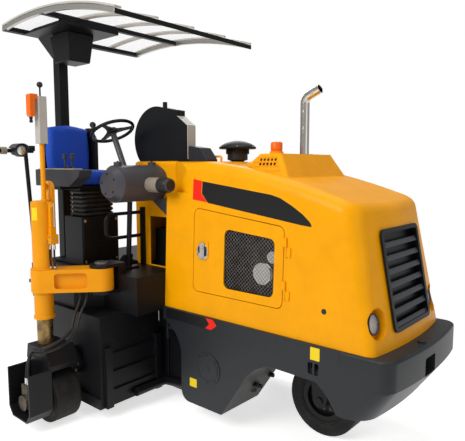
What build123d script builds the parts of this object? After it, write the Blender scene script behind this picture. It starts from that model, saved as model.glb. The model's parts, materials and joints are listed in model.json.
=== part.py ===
"""Cold planer: a small three-wheeled road milling machine with an operator's platform and canopy.

Frame: +X forwards, +Y to the driver's left, +Z up, the ground at z = 0, millimetres throughout.
"""

import os
from math import asin, atan2, cos, degrees, radians, sin, sqrt

from build123d import *

os.makedirs("parts", exist_ok=True)

# Overall layout
CENTRE_Y = 470.0
SIDE_OUT = 535.0
FRAME_TOP = 820.0
PLATE = 30.0
FIT = 0.05
SEAT_GAP = 0.3

# Hood
HOOD_REAR = -330.0
HOOD_FRONT = 1440.0
HOOD_HALF = 515.0
HOOD_TOP = 1930.0
HOOD_NOSE_TOP = 1655.0
HOOD_WALL = 10.0
HOOD_CORNER_LOW = 60.0
HOOD_CORNER_HIGH = 170.0
HOOD_BOW = 45.0
HOOD_CROWN = 85.0
FRONT_LEAN = 0.192
SIDE_LEAN = 0.040
NOTCH_FRONT = -70.0
NOTCH_BOTTOM = 1700.0

# Service door in each side of the hood, with its mesh window
DOOR_REAR = -28.0
DOOR_FRONT = 765.0
DOOR_BOTTOM = 990.0
DOOR_TOP_REAR = 1595.0
DOOR_TOP_FRONT = 1512.0
DOOR_CORNER = 45.0
DOOR_GAP = 5.0
WINDOW_REAR = 264.0
WINDOW_FRONT = 695.0
WINDOW_BOTTOM = 1048.0
WINDOW_TOP_REAR = 1465.0
WINDOW_TOP_FRONT = 1429.0
WINDOW_CORNER = 45.0
HINGE_X = 787.0
HINGE_STAND = 8.0
HINGE_R = 7.0
HINGE_PIN_R = 3.0
HINGE_LENGTH = 120.0
HINGE_HEIGHTS = (1388.0, 1112.0)
LATCH_X = 70.0
LATCH_Z = 1300.0

# Grille and headlamps in the nose
GRILLE_W = 552.0
GRILLE_H = 622.0
GRILLE_MID = 401.0
GRILLE_FLANGE = 12.0
GRILLE_RIM = 28.0
GRILLE_DEPTH = 46.0
LOUVRES = 7
LOUVRE_PITCH = 81.0
LOUVRE_LOW = 128.0
LAMP_OUT = 412.0
LAMP_MID = 179.0
LAMP_W = 165.0
LAMP_H = 200.0
LAMP_CUP = 92.0
LAMP_WALL = 7.0
LENS_R = 62.0
LENS_T = 26.0

# Side plates of the base frame
LOBE_REAR = -138.0
LOBE_FRONT = 265.0
LOBE_BOTTOM = 130.0
LOBE_CORNER = 80.0
LOBE_BOX = 400.0
COVER_X = 135.0
COVER_Z = 437.0
COVER_R = 120.0
TIE_X = 1018.0
TIE_Z = 668.0
BELLY_Z = 596.0
ARCH_R = 385.0
BUMPER_REAR = 1200.0
BUMPER_FRONT = 1560.0
BUMPER_BOTTOM = 425.0
BUMPER_BOW = 50.0
FLOOR_Z = 640.0
FLOOR_T = 20.0

# Front wheel and its steered fork
FRONT_X = 829.0
FRONT_R = 265.0
FRONT_W = 190.0
FORK_LEG = 25.0
FORK_CLEAR = 10.0
CROWN_BOTTOM = 550.0
CROWN_TOP = 600.0
KINGPIN_D = 90.0
KINGPIN_TOP = 780.0

# Rear wheels and their lifting legs
REAR_X = -840.0
REAR_R = 200.0
REAR_W = 200.0
RIGHT_Y = -700.0
LEFT_Y = 870.0
LEG_BACK = 65.0
LEG_OUT = 30.0
ROD_D = 115.0
TUBE_D = 140.0
TUBE_BOTTOM = 770.0
ROD_TOP = 1440.0
YOKE_BOTTOM = 425.0
YOKE_TOP = 578.0

# Swing arm of the right leg
PIVOT_X = -620.0
PIVOT_Y = -415.0
ARM_BOTTOM = 972.0
ARM_TOP = 1142.0
ARM_W = 176.0
EAR_T = 25.0
PIVOT_PIN_D = 70.0
COLUMN_TOP = 1644.0

# Milling drum and its housing
DRUM_X = -850.0
DRUM_Z = 400.0
DRUM_TUBE_R = 200.0
DRUM_PICK_R = 280.0
DRUM_LENGTH = 500.0
DRUM_SHAFT_D = 120.0
HOUSING_FRONT = -497.0
HOUSING_REAR = -1200.0
HOUSING_RIGHT = -531.0
HOUSING_LEFT = 35.0
HOUSING_BOTTOM = 100.0
HOUSING_TOP = 795.0
HOUSING_WALL = 20.0

# Rear frame, deck and the yellow housing beside the operator
FRAME_RIGHT = -320.0
DECK_TOP = 1100.0
DECK_PLATE = 20.0
DECK_FRONT = -805.0
TUNNEL_RIGHT = 85.0
TUNNEL_REAR = -820.0
TUNNEL_TOP = 1935.0
TUNNEL_WALL = 10.0

# Operator's seat
SEAT_Y = -190.0
SEAT_W = 430.0
PAN_TOP = 1740.0
CUSHION_TOP = 1865.0
BACK_TOP = 2248.0

# Canopy
CANOPY_RIGHT = -640.0
CANOPY_LEFT = 719.0
CANOPY_BARS = ((-1555.0, 3000.0), (-975.0, 3030.0), (-95.0, 2875.0))
RIB_T = 14.0
PANEL_T = 4.0
MIDDLE = Plane(origin=(0, CENTRE_Y, 0), x_dir=(1, 0, 0), z_dir=(0, 1, 0))


def side_plane(y):
    """Seen from the right: X to the right, Z up, extruding towards -Y."""
    return Plane(origin=(0, y, 0), x_dir=(1, 0, 0), z_dir=(0, -1, 0))


def front_plane(x):
    """Seen from the front: Y across, Z up, extruding towards +X."""
    return Plane(origin=(x, 0, 0), x_dir=(0, 1, 0), z_dir=(1, 0, 0))


def nose_plane(out):
    """The hood's leaning front face: Y across from its middle, up the slope from the frame."""
    slope = sqrt(1 + FRONT_LEAN**2)
    origin = (HOOD_FRONT + out / slope, CENTRE_Y, FRAME_TOP + out * FRONT_LEAN / slope)
    return Plane(origin=origin, x_dir=(0, 1, 0), z_dir=(1, 0, FRONT_LEAN))


def flank_plane(inset):
    """The hood's leaning right side: X along, height above the frame up, extruding outwards."""
    face = Plane(origin=(0, CENTRE_Y - HOOD_HALF, FRAME_TOP), x_dir=(1, 0, 0), z_dir=(0, -1, SIDE_LEAN))
    return face.offset(-inset)


def block(x, y, z, mode=Mode.ADD):
    """A box between its limits along the three axes."""
    with Locations(((x[0] + x[1]) / 2, (y[0] + y[1]) / 2, (z[0] + z[1]) / 2)):
        Box(x[1] - x[0], y[1] - y[0], z[1] - z[0], mode=mode)


def rod(start, end, diameter, mode=Mode.ADD):
    """A round bar between two points."""
    axis = Vector(*end) - Vector(*start)
    with BuildSketch(Plane(origin=start, z_dir=axis)) as section:
        Circle(diameter / 2)
    extrude(section.sketch, amount=axis.length, mode=mode)


def plate(plane, points, thickness, radius=0.0, mode=Mode.ADD):
    """A flat plate of a polygon outline, its corners rounded if a radius is given."""
    with BuildSketch(plane) as section:
        with BuildLine():
            Polyline(*points, close=True)
        make_face()
        if radius:
            fillet(section.vertices(), radius=radius)
    extrude(section.sketch, amount=thickness, mode=mode)


def tube_run(points, radius, diameter, bore=0.0):
    """A bent tube or hose along a line of points with rounded corners."""
    with BuildLine() as path:
        FilletPolyline(*points, radius=radius)
    with BuildSketch(Plane(origin=path.line @ 0, z_dir=path.line % 0)) as section:
        Circle(diameter / 2)
        if bore:
            Circle(bore / 2, mode=Mode.SUBTRACT)
    sweep(section.sketch, path=path.line)


def finish(part, name):
    """Label a piece and write its file."""
    part.label = name
    export_step(part, f"parts/{name}.step")


def hood_front_x(z):
    """X of the hood's leaning front face at a height."""
    return HOOD_FRONT - FRONT_LEAN * (z - FRAME_TOP)


def hood_half(z):
    """Half width of the hood at a height, its sides leaning in."""
    return HOOD_HALF - SIDE_LEAN * (z - FRAME_TOP)


def hood_plan(front, half, corner, rear, bow):
    """The hood or the counterweight from above: a bowed front between two rounded corners."""
    with BuildSketch() as plan:
        with BuildLine():
            Polyline((front - bow, CENTRE_Y - half), (rear, CENTRE_Y - half),
                     (rear, CENTRE_Y + half), (front - bow, CENTRE_Y + half))
            ThreePointArc((front - bow, CENTRE_Y + half), (front, CENTRE_Y), (front - bow, CENTRE_Y - half))
        make_face()
        fillet(plan.vertices().group_by(Axis.X)[-1], radius=corner)
    return plan.sketch


def hood_form(inset):
    """The hood's outer form, or with an inset the space inside it."""
    low = FRAME_TOP - (20.0 if inset else 0.0)
    high = HOOD_TOP + 120.0
    top = HOOD_TOP - inset
    nose = HOOD_NOSE_TOP - 60 - inset
    with BuildPart() as form:
        for z, corner in ((low, HOOD_CORNER_LOW), (high, HOOD_CORNER_HIGH)):
            with BuildSketch(Plane.XY.offset(z)):
                add(hood_plan(hood_front_x(z) - inset, hood_half(z) - inset, corner - inset,
                              HOOD_REAR + inset, HOOD_BOW))
        loft(ruled=True)
        with BuildSketch(side_plane(CENTRE_Y)):
            with BuildLine():
                Line((HOOD_REAR - 50, top), (40, top))
                ThreePointArc((40, top), (640, top - 90), (HOOD_FRONT, nose))
                Polyline((HOOD_FRONT, nose), (HOOD_FRONT + 50, low - 1), (HOOD_REAR - 50, low - 1),
                         (HOOD_REAR - 50, top))
            make_face()
        extrude(amount=HOOD_HALF + 50, both=True, mode=Mode.INTERSECT)
        crown = [e for e in form.edges() if e.center().Z > 1500 and e.center().X > HOOD_REAR + inset + 1
                 and not (abs(e.tangent_at(0.5).Y) > 0.99 and e.center().X < 800)
                 and abs(e.tangent_at(0.5).Z) < 0.9]
        fillet(crown, radius=HOOD_CROWN - inset)
        # The rear right shoulder is cut in, down to the narrower housing behind it
        step = inset * 1.2
        with BuildSketch(Plane.XY.offset(NOTCH_BOTTOM - inset)):
            with BuildLine():
                Polyline((NOTCH_FRONT + step, CENTRE_Y - HOOD_HALF - 60), (NOTCH_FRONT + step, CENTRE_Y - HOOD_HALF + 20),
                         (HOOD_REAR - 60, TUNNEL_RIGHT + step + 30), (HOOD_REAR - 60, CENTRE_Y - HOOD_HALF - 60),
                         close=True)
            make_face()
        extrude(amount=400, mode=Mode.SUBTRACT)
    return form.part


# Base frame: two side plates with the belt lobe and the wheel arch, floor and steering head
arch_low_z = BUMPER_BOTTOM - FRONT_R
arch_high_z = 325.0
arch_low = (FRONT_X + sqrt(ARCH_R**2 - arch_low_z**2), BUMPER_BOTTOM)
arch_high = (FRONT_X + sqrt(ARCH_R**2 - arch_high_z**2), FRONT_R + arch_high_z)
arch_mid_angle = (asin(arch_low_z / ARCH_R) + asin(arch_high_z / ARCH_R)) / 2
arch_mid = (FRONT_X + ARCH_R * cos(arch_mid_angle), FRONT_R + ARCH_R * sin(arch_mid_angle))
band_low = 722.0
band_out = 4.0
lobe_foot = (LOBE_REAR + LOBE_CORNER, LOBE_BOTTOM)
lobe_heel = (LOBE_REAR, LOBE_BOTTOM + LOBE_CORNER)
lobe_brow = (LOBE_FRONT + 175, LOBE_BOTTOM + 260)


def lobe_line():
    """The belt lobe's edge, from the belly round its flat foot to the rear of the side plate."""
    ThreePointArc((690, BELLY_Z), (535, 515), lobe_brow)
    Line(lobe_brow, (LOBE_FRONT, LOBE_BOTTOM))
    Line((LOBE_FRONT, LOBE_BOTTOM), lobe_foot)
    RadiusArc(lobe_foot, lobe_heel, LOBE_CORNER)
    Line(lobe_heel, (LOBE_REAR, 500))



with BuildPart() as main_frame:
    for side in (-1, 1):
        face_y = CENTRE_Y + side * (SIDE_OUT - band_out)
        with BuildSketch(side_plane(face_y)):
            with BuildLine():
                Polyline((HOOD_REAR, FRAME_TOP), (BUMPER_REAR, FRAME_TOP), (BUMPER_REAR, BUMPER_BOTTOM), arch_low)
                ThreePointArc(arch_low, arch_mid, arch_high)
                Line(arch_high, (690, BELLY_Z))
                lobe_line()
                ThreePointArc((LOBE_REAR, 500), (-190, 618), (HOOD_REAR, band_low))
                Line((HOOD_REAR, band_low), (HOOD_REAR, FRAME_TOP))
            make_face()
        extrude(amount=side * (PLATE - band_out))
        with BuildSketch(side_plane(face_y)):
            with Locations(((HOOD_REAR + BUMPER_REAR) / 2, (band_low + FRAME_TOP) / 2)):
                Rectangle(BUMPER_REAR - HOOD_REAR, FRAME_TOP - band_low)
        extrude(amount=-side * band_out)
        # Round belt cover on the lobe
        with BuildSketch(side_plane(face_y)):
            with Locations((COVER_X, COVER_Z)):
                Circle(COVER_R)
        extrude(amount=-side * 6)
        with BuildSketch(side_plane(face_y + side * 6)):
            with Locations((COVER_X, COVER_Z)):
                Circle(COVER_R - 20)
                Circle(COVER_R - 32, mode=Mode.SUBTRACT)
                Circle(22)
        extrude(amount=-side * 3)
        # Tie-down pocket with its bar
        with BuildSketch(side_plane(face_y + side * band_out)):
            with Locations((TIE_X, TIE_Z)):
                RectangleRounded(76, 74, 12)
        extrude(amount=side * PLATE, mode=Mode.SUBTRACT)
        with BuildSketch(side_plane(face_y - side * 4)):
            with Locations((TIE_X, TIE_Z)):
                Rectangle(14, 78)
        extrude(amount=side * 14)
    # The right lobe is a closed box for the drum's belts
    for inset, mode in ((0, Mode.ADD), (10, Mode.SUBTRACT)):
        with BuildSketch(side_plane(CENTRE_Y - SIDE_OUT + PLATE)):
            with BuildLine():
                lobe_line()
                Polyline((LOBE_REAR, 500), (LOBE_REAR, FLOOR_Z), (690, FLOOR_Z), (690, BELLY_Z))
            make_face()
            if inset:
                offset(amount=-inset)
        extrude(amount=-LOBE_BOX + inset, mode=mode)
    inside = 2 * (SIDE_OUT - PLATE)
    with Locations((0, CENTRE_Y, 0)):
        with Locations(((HOOD_REAR + BUMPER_REAR) / 2, 0, FLOOR_Z + FLOOR_T / 2)):
            Box(BUMPER_REAR - HOOD_REAR, inside, FLOOR_T)
        with Locations((HOOD_REAR + 10, 0, (560 + FRAME_TOP) / 2)):
            Box(20, inside, FRAME_TOP - 560)
        for x in (FRONT_X - 150, FRONT_X + 150):
            with Locations((x, 0, 730)):
                Box(20, inside, 140)
    with BuildSketch(Plane.XY.offset(CROWN_TOP + 1)):
        with Locations((FRONT_X, CENTRE_Y)):
            Circle(85)
    extrude(amount=KINGPIN_TOP - CROWN_TOP - 1)
    with BuildSketch(Plane.XY.offset(CROWN_TOP)):
        with Locations((FRONT_X, CENTRE_Y)):
            Circle(KINGPIN_D / 2 + FIT)
    extrude(amount=KINGPIN_TOP, mode=Mode.SUBTRACT)
finish(main_frame.part, "main_frame")


# Counterweight round the nose, with the towing pocket and its pin
bumper_mid = 640.0
pin_x = BUMPER_FRONT - 60
POCKET_Y = 410.0
with BuildPart() as counterweight:
    for z, front, corner in ((BUMPER_BOTTOM, BUMPER_FRONT - 155, 150.0), (bumper_mid, BUMPER_FRONT, 85.0)):
        with BuildSketch(Plane.XY.offset(z)):
            add(hood_plan(front, SIDE_OUT, corner, BUMPER_REAR, BUMPER_BOW))
    loft(ruled=True)
    with BuildSketch(Plane.XY.offset(bumper_mid)):
        add(hood_plan(BUMPER_FRONT, SIDE_OUT, 85.0, BUMPER_REAR, BUMPER_BOW))
    extrude(amount=FRAME_TOP - bumper_mid)
    rim = [e for e in counterweight.edges().group_by(Axis.Z)[-1] if e.center().X > BUMPER_REAR + 1]
    fillet(rim, radius=16)
    with BuildSketch(front_plane(BUMPER_FRONT)):
        with Locations((POCKET_Y, 690)):
            RectangleRounded(150, 120, 18)
    extrude(amount=-130, mode=Mode.SUBTRACT)
    rod((pin_x, POCKET_Y, 625), (pin_x, POCKET_Y, FRAME_TOP), 30)
    rod((pin_x, POCKET_Y, FRAME_TOP), (pin_x, POCKET_Y, FRAME_TOP + 12), 52)
finish(counterweight.part, "counterweight")

# Hood: a hollow shell with its door, grille, lamp and roof openings
EXHAUST = (540.0, 550.0)
EXHAUST_D = 66.0
CLEANER = (-30.0, 470.0)


def door_outline(grow, plane):
    """The service door's outline, or with growth the opening that it closes."""
    points = ((DOOR_REAR - grow, DOOR_BOTTOM - grow), (DOOR_FRONT + grow, DOOR_BOTTOM - grow),
              (DOOR_FRONT + grow, DOOR_TOP_FRONT + grow), (DOOR_REAR - grow, DOOR_TOP_REAR + grow))
    with BuildSketch(plane) as outline:
        with BuildLine():
            Polyline(*[(x, z - FRAME_TOP) for x, z in points], close=True)
        make_face()
        fillet(outline.vertices(), radius=DOOR_CORNER + grow)
    return outline.sketch


def window_outline(grow, plane):
    """The mesh window's outline in the door, grown or shrunk all round."""
    points = ((WINDOW_REAR - grow, WINDOW_BOTTOM - grow), (WINDOW_FRONT + grow, WINDOW_BOTTOM - grow),
              (WINDOW_FRONT + grow, WINDOW_TOP_FRONT + grow), (WINDOW_REAR - grow, WINDOW_TOP_REAR + grow))
    with BuildSketch(plane) as outline:
        with BuildLine():
            Polyline(*[(x, z - FRAME_TOP) for x, z in points], close=True)
        make_face()
        fillet(outline.vertices(), radius=WINDOW_CORNER + grow)
    return outline.sketch


def hinge_plane(z):
    """Section of a door hinge on the right side, square to its pin, which leans with the hood."""
    y = CENTRE_Y - hood_half(z) - HINGE_STAND
    return Plane(origin=(HINGE_X, y, z), x_dir=(1, 0, 0), z_dir=(0, SIDE_LEAN, 1))


def hinge_leaf(z, away):
    """One half of a hinge: barrel and leaf, its foot sunk into the skin; away is -1 for the door's side."""
    with BuildSketch(hinge_plane(z)) as section:
        Circle(HINGE_R)
        with Locations((away * 17, HINGE_STAND / 2 - 1)):
            Rectangle(34, HINGE_STAND - 2)
        with Locations((away * 32, HINGE_STAND / 2 + 1)):
            Rectangle(8, HINGE_STAND + 4)
    return section.sketch


with BuildPart() as hood_half_hinges:
    for height in HINGE_HEIGHTS:
        extrude(hinge_leaf(height - HINGE_LENGTH / 2, 1), amount=HINGE_LENGTH / 2 - 0.5)
        with BuildSketch(hinge_plane(height - 10)) as pin:
            Circle(HINGE_PIN_R)
        extrude(pin.sketch, amount=HINGE_LENGTH / 2 + 10)

hood_outer = hood_form(0)
with BuildPart() as hood:
    add(hood_outer)
    add(hood_form(HOOD_WALL), mode=Mode.SUBTRACT)
    extrude(door_outline(DOOR_GAP, flank_plane(-20)), amount=-60, mode=Mode.SUBTRACT)
    extrude(mirror(door_outline(DOOR_GAP, flank_plane(-20)), about=MIDDLE, mode=Mode.PRIVATE), amount=-60, mode=Mode.SUBTRACT)
    with BuildSketch(nose_plane(-70)):
        with Locations((0, GRILLE_MID)):
            RectangleRounded(GRILLE_W - 2 * GRILLE_FLANGE, GRILLE_H - 2 * GRILLE_FLANGE, 34)
    extrude(amount=130, mode=Mode.SUBTRACT)
    with BuildSketch(nose_plane(-LAMP_CUP - 8)):
        with Locations((-LAMP_OUT, LAMP_MID), (LAMP_OUT, LAMP_MID)):
            SlotOverall(LAMP_H, LAMP_W, rotation=90)
    extrude(amount=LAMP_CUP + 60, mode=Mode.SUBTRACT)
    with BuildSketch(Plane.XY.offset(HOOD_TOP - 300)):
        with Locations((525, CENTRE_Y)):
            Rectangle(200, 560)
        with Locations(CLEANER):
            Circle(52)
    extrude(amount=400, mode=Mode.SUBTRACT)
    add(hood_half_hinges.part)
    add(hood_half_hinges.part.mirror(MIDDLE))
    tube_run(((-96, 215, HOOD_TOP - 2), (-96, 215, 1968), (26, 215, 1968), (26, 215, HOOD_TOP - 2)), 14, 18)
finish(hood.part, "hood")

# Service doors in the flanks, with their hinge leaves and a mesh behind a frame in the window
with BuildPart() as door_right:
    extrude(door_outline(0, flank_plane(0)), amount=-HOOD_WALL + 0.1)
    extrude(window_outline(0, flank_plane(20)), amount=60, mode=Mode.SUBTRACT)
    for height in HINGE_HEIGHTS:
        extrude(hinge_leaf(height, -1), amount=HINGE_LENGTH / 2)
        with BuildSketch(hinge_plane(height - 1)) as pin:
            Circle(HINGE_PIN_R + FIT)
        extrude(pin.sketch, amount=HINGE_LENGTH, mode=Mode.SUBTRACT)
    with BuildSketch(flank_plane(0)) as latch_base:
        with Locations((LATCH_X, LATCH_Z - FRAME_TOP)):
            RectangleRounded(96, 130, 14)
    extrude(latch_base.sketch, amount=6)
    with BuildSketch(flank_plane(-6)) as latch_grip:
        with Locations((LATCH_X, LATCH_Z - FRAME_TOP)):
            SlotOverall(100, 34, rotation=90)
    extrude(latch_grip.sketch, amount=14)

MESH_PITCH = 42.0
MESH_HOLE = 24.0
WINDOW_RIM = 16.0
with BuildPart() as mesh_right:
    extrude(window_outline(-SEAT_GAP, flank_plane(6)), amount=3)
    with BuildSketch(flank_plane(0)) as holes:
        with Locations(((WINDOW_REAR + WINDOW_FRONT) / 2, (WINDOW_BOTTOM + WINDOW_TOP_FRONT) / 2 - FRAME_TOP + 8)):
            for columns, rows in ((9, 9), (10, 10)):
                with GridLocations(MESH_PITCH, MESH_PITCH, columns, rows):
                    Rectangle(MESH_HOLE, MESH_HOLE, rotation=45)
    extrude(holes.sketch & window_outline(-WINDOW_RIM, flank_plane(0)), amount=20, both=True, mode=Mode.SUBTRACT)
    extrude(window_outline(WINDOW_RIM, flank_plane(0)), amount=5)
    extrude(window_outline(-SEAT_GAP, flank_plane(3)), amount=4)
    extrude(window_outline(-WINDOW_RIM, flank_plane(3)), amount=10, mode=Mode.SUBTRACT)

for name, part in (("door", door_right.part), ("door_mesh", mesh_right.part)):
    finish(part, f"{name}_right")
    finish(part.mirror(MIDDLE), f"{name}_left")

# Grille: a frame in the nose opening with flat louvres before a dark screen
with BuildPart() as grille:
    with BuildSketch(nose_plane(-6)) as frame:
        with Locations((0, GRILLE_MID)):
            RectangleRounded(GRILLE_W, GRILLE_H, 42)
            RectangleRounded(GRILLE_W - 2 * GRILLE_RIM, GRILLE_H - 2 * GRILLE_RIM, 20, mode=Mode.SUBTRACT)
    extrude(frame.sketch, amount=13)
    add(hood_outer, mode=Mode.SUBTRACT)
    with BuildSketch(nose_plane(-GRILLE_DEPTH)) as plug:
        with Locations((0, GRILLE_MID)):
            RectangleRounded(GRILLE_W - 2 * GRILLE_FLANGE - 1, GRILLE_H - 2 * GRILLE_FLANGE - 1, 33)
            RectangleRounded(GRILLE_W - 2 * GRILLE_RIM, GRILLE_H - 2 * GRILLE_RIM, 20, mode=Mode.SUBTRACT)
    extrude(plug.sketch, amount=GRILLE_DEPTH - 2)
    with BuildSketch(nose_plane(-GRILLE_DEPTH)) as screen:
        with Locations((0, GRILLE_MID)):
            Rectangle(GRILLE_W - 2 * GRILLE_RIM + 4, GRILLE_H - 2 * GRILLE_RIM + 4)
    extrude(screen.sketch, amount=3)
    for i in range(LOUVRES):
        with Locations(nose_plane(-16).location * Location((0, LOUVRE_LOW + i * LOUVRE_PITCH, 0), (24, 0, 0))):
            Box(GRILLE_W - 2 * GRILLE_RIM + 4, 26, 8)
finish(grille.part, "grille")

# Headlamps: deep oblong cups round the lower corners of the nose, each with a round lamp
with BuildPart() as headlamps:
    for across in (-LAMP_OUT, LAMP_OUT):
        with BuildSketch(nose_plane(-LAMP_CUP)) as cup:
            with Locations((across, LAMP_MID)):
                SlotOverall(LAMP_H - 1, LAMP_W - 1, rotation=90)
        extrude(cup.sketch, amount=LAMP_CUP + 20)
        with BuildSketch(nose_plane(LAMP_WALL - LAMP_CUP)) as hollow:
            with Locations((across, LAMP_MID)):
                SlotOverall(LAMP_H - 2 * LAMP_WALL, LAMP_W - 2 * LAMP_WALL, rotation=90)
        extrude(hollow.sketch, amount=LAMP_CUP + 20, mode=Mode.SUBTRACT)
    add(hood_outer, mode=Mode.INTERSECT)
finish(headlamps.part, "headlamps")

with BuildPart() as headlamp_lenses:
    for across in (-LAMP_OUT, LAMP_OUT):
        with BuildSketch(nose_plane(LAMP_WALL - LAMP_CUP)) as lamp:
            with Locations((across, LAMP_MID)):
                Circle(LENS_R)
        extrude(lamp.sketch, amount=LENS_T)
finish(headlamp_lenses.part, "headlamp_lenses")

# Heavy and visible things under the hood
with BuildPart() as engine_block:
    block((60, 650), (200, 740), (FLOOR_Z + FLOOR_T, 1500))
    block((-200, 60), (320, 620), (FLOOR_Z + FLOOR_T, 1150))
    block((1125, 1195), (150, 790), (FLOOR_Z + FLOOR_T, 1520))
finish(engine_block.part, "engine_and_radiator")

# Intake box on the hood: slanting on all sides, open to the hood below
INTAKE_LOW = 1800.0
INTAKE_TOP = 1980.0
BEACON = (500.0, 260.0)


def intake_form(inset):
    """The intake box's outer form, or with an inset the space inside it."""
    with BuildPart() as form:
        for z, x, y, radius in ((INTAKE_LOW, (233, 730), (75, 865), 30.0), (INTAKE_TOP, (440, 620), (140, 800), 24.0)):
            with BuildSketch(Plane.XY.offset(z - (inset if z == INTAKE_TOP else 0))):
                with Locations(((x[0] + x[1]) / 2, (y[0] + y[1]) / 2)):
                    RectangleRounded(x[1] - x[0] - 2 * inset, y[1] - y[0] - 2 * inset, radius - inset)
        loft(ruled=True)
    return form.part


with BuildPart() as intake_box:
    add(intake_form(0))
    add(intake_form(8), mode=Mode.SUBTRACT)
    rod((*EXHAUST, INTAKE_LOW), (*EXHAUST, INTAKE_TOP + 20), EXHAUST_D + 2, Mode.SUBTRACT)
    for x in (470, 500, 530, 560, 590):
        for z in (1905, 1945):
            block((x - 9, x + 9), (60, 240), (z - 14, z + 14), Mode.SUBTRACT)
    add(hood_outer, mode=Mode.SUBTRACT)
    rod((*BEACON, INTAKE_TOP), (*BEACON, INTAKE_TOP + 16), 96)
finish(intake_box.part, "intake_box")

with BuildPart() as beacon:
    rod((*BEACON, INTAKE_TOP + 16), (*BEACON, INTAKE_TOP + 86), 84)
    fillet(beacon.faces().sort_by(Axis.Z)[-1].edges(), radius=24)
finish(beacon.part, "beacon")

with BuildPart() as exhaust_stack:
    tube_run(((*EXHAUST, 1500), (*EXHAUST, 2385), (EXHAUST[0] + 125, EXHAUST[1], 2440)), 60, EXHAUST_D, 58)
finish(exhaust_stack.part, "exhaust_stack")

with BuildPart() as precleaner:
    rod((*CLEANER, 1900), (*CLEANER, HOOD_TOP), 100)
    rod((*CLEANER, HOOD_TOP), (*CLEANER, 2030), 190)
    with BuildSketch(Plane.XY.offset(2030)) as low:
        with Locations(CLEANER):
            Circle(148)
    extrude(low.sketch, amount=44)
    with BuildSketch(Plane.XY.offset(2074)) as rim:
        with Locations(CLEANER):
            Circle(148)
    extrude(rim.sketch, amount=22, taper=45)
finish(precleaner.part, "precleaner")

# Rear frame: the chassis behind the hood, carrying deck, housing, columns and the swing arm's ears
FRAME_DECK = DECK_TOP - DECK_PLATE
LEFT_COLUMN = (REAR_X - LEG_BACK, LEFT_Y - LEG_OUT)
RIGHT_COLUMN = (REAR_X - LEG_BACK, RIGHT_Y - LEG_OUT)
FRAME_REAR = -1500.0
FRAME_LEFT = 985.0
WIDE_RIGHT = -500.0
WIDE_FRONT = -870.0

with BuildPart() as rear_frame:
    plate(Plane.XY.offset(HOUSING_TOP), ((FRAME_REAR, WIDE_RIGHT), (WIDE_FRONT, WIDE_RIGHT), (WIDE_FRONT + 140, FRAME_RIGHT),
                                         (HOOD_REAR, FRAME_RIGHT), (HOOD_REAR, FRAME_LEFT), (FRAME_REAR, FRAME_LEFT)),
          FRAME_DECK - HOUSING_TOP)
    # Web from the base frame down beside the drum housing
    block((HOUSING_FRONT, HOOD_REAR), (HOUSING_LEFT, FRAME_LEFT - 20), (620, HOUSING_TOP))
    rod((*LEFT_COLUMN, HOUSING_TOP - 1), (*LEFT_COLUMN, FRAME_DECK + 1), TUBE_D + 2 * SEAT_GAP, Mode.SUBTRACT)
    for bottom in (ARM_BOTTOM - 1 - EAR_T, ARM_TOP + 1):
        with BuildSketch(Plane.XY.offset(bottom)) as ear:
            with Locations((PIVOT_X, PIVOT_Y)):
                Circle(90)
            with Locations((PIVOT_X, (PIVOT_Y + FRAME_RIGHT + 60) / 2)):
                Rectangle(180, FRAME_RIGHT + 60 - PIVOT_Y)
        extrude(ear.sketch, amount=EAR_T)
    # Riser that carries the upper ear
    block((PIVOT_X - 90, PIVOT_X + 90), (FRAME_RIGHT, FRAME_RIGHT + 60), (FRAME_DECK - 20, ARM_TOP + 1 + EAR_T))
    rod((PIVOT_X, PIVOT_Y, ARM_BOTTOM - 60), (PIVOT_X, PIVOT_Y, ARM_TOP + 60), PIVOT_PIN_D + 2 * FIT, Mode.SUBTRACT)
    # Access step at the rear left
    for y in (500.0, 820.0):
        block((FRAME_REAR - 30, FRAME_REAR), (y, y + 20), (330, 1000))
    for z in (340.0, 640.0, 930.0):
        block((FRAME_REAR - 56, FRAME_REAR - 5), (500, 840), (z, z + 40))
finish(rear_frame.part, "rear_frame")

with BuildPart() as pivot_pin:
    rod((PIVOT_X, PIVOT_Y, ARM_BOTTOM - 40), (PIVOT_X, PIVOT_Y, ARM_TOP + 1 + EAR_T), PIVOT_PIN_D)
    rod((PIVOT_X, PIVOT_Y, ARM_TOP + 1 + EAR_T), (PIVOT_X, PIVOT_Y, ARM_TOP + EAR_T + 16), PIVOT_PIN_D + 30)
finish(pivot_pin.part, "pivot_pin")

with BuildPart() as deck:
    block((FRAME_REAR, DECK_FRONT), (FRAME_RIGHT, TUNNEL_RIGHT - SEAT_GAP), (FRAME_DECK, DECK_TOP))
    block((FRAME_REAR, TUNNEL_REAR - SEAT_GAP), (TUNNEL_RIGHT - SEAT_GAP, 900), (FRAME_DECK, DECK_TOP))
    corner = [e for e in deck.edges().filter_by(Axis.Z) if e.center().X > DECK_FRONT - 1 and e.center().Y < FRAME_RIGHT + 1]
    fillet(corner, radius=80)
    rod((*LEFT_COLUMN, FRAME_DECK - 1), (*LEFT_COLUMN, DECK_TOP + 1), TUBE_D + 4, Mode.SUBTRACT)
finish(deck.part, "deck")

# Rear housing: the yellow hollow body beside the operator, open on its right
with BuildPart() as rear_housing:
    block((TUNNEL_REAR, HOOD_REAR), (TUNNEL_RIGHT, FRAME_LEFT), (FRAME_DECK, TUNNEL_TOP))
    top_edges = [e for e in rear_housing.edges().group_by(Axis.Z)[-1] if e.center().X < HOOD_REAR - 1]
    fillet(top_edges, radius=26)
    block((TUNNEL_REAR + TUNNEL_WALL, HOOD_REAR - TUNNEL_WALL), (TUNNEL_RIGHT + TUNNEL_WALL, FRAME_LEFT - TUNNEL_WALL),
          (FRAME_DECK - 1, TUNNEL_TOP - TUNNEL_WALL), Mode.SUBTRACT)
    block((-645, -400), (TUNNEL_RIGHT - 5, TUNNEL_RIGHT + 30), (FRAME_DECK + 10, 1490), Mode.SUBTRACT)
finish(rear_housing.part, "rear_housing")

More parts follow.
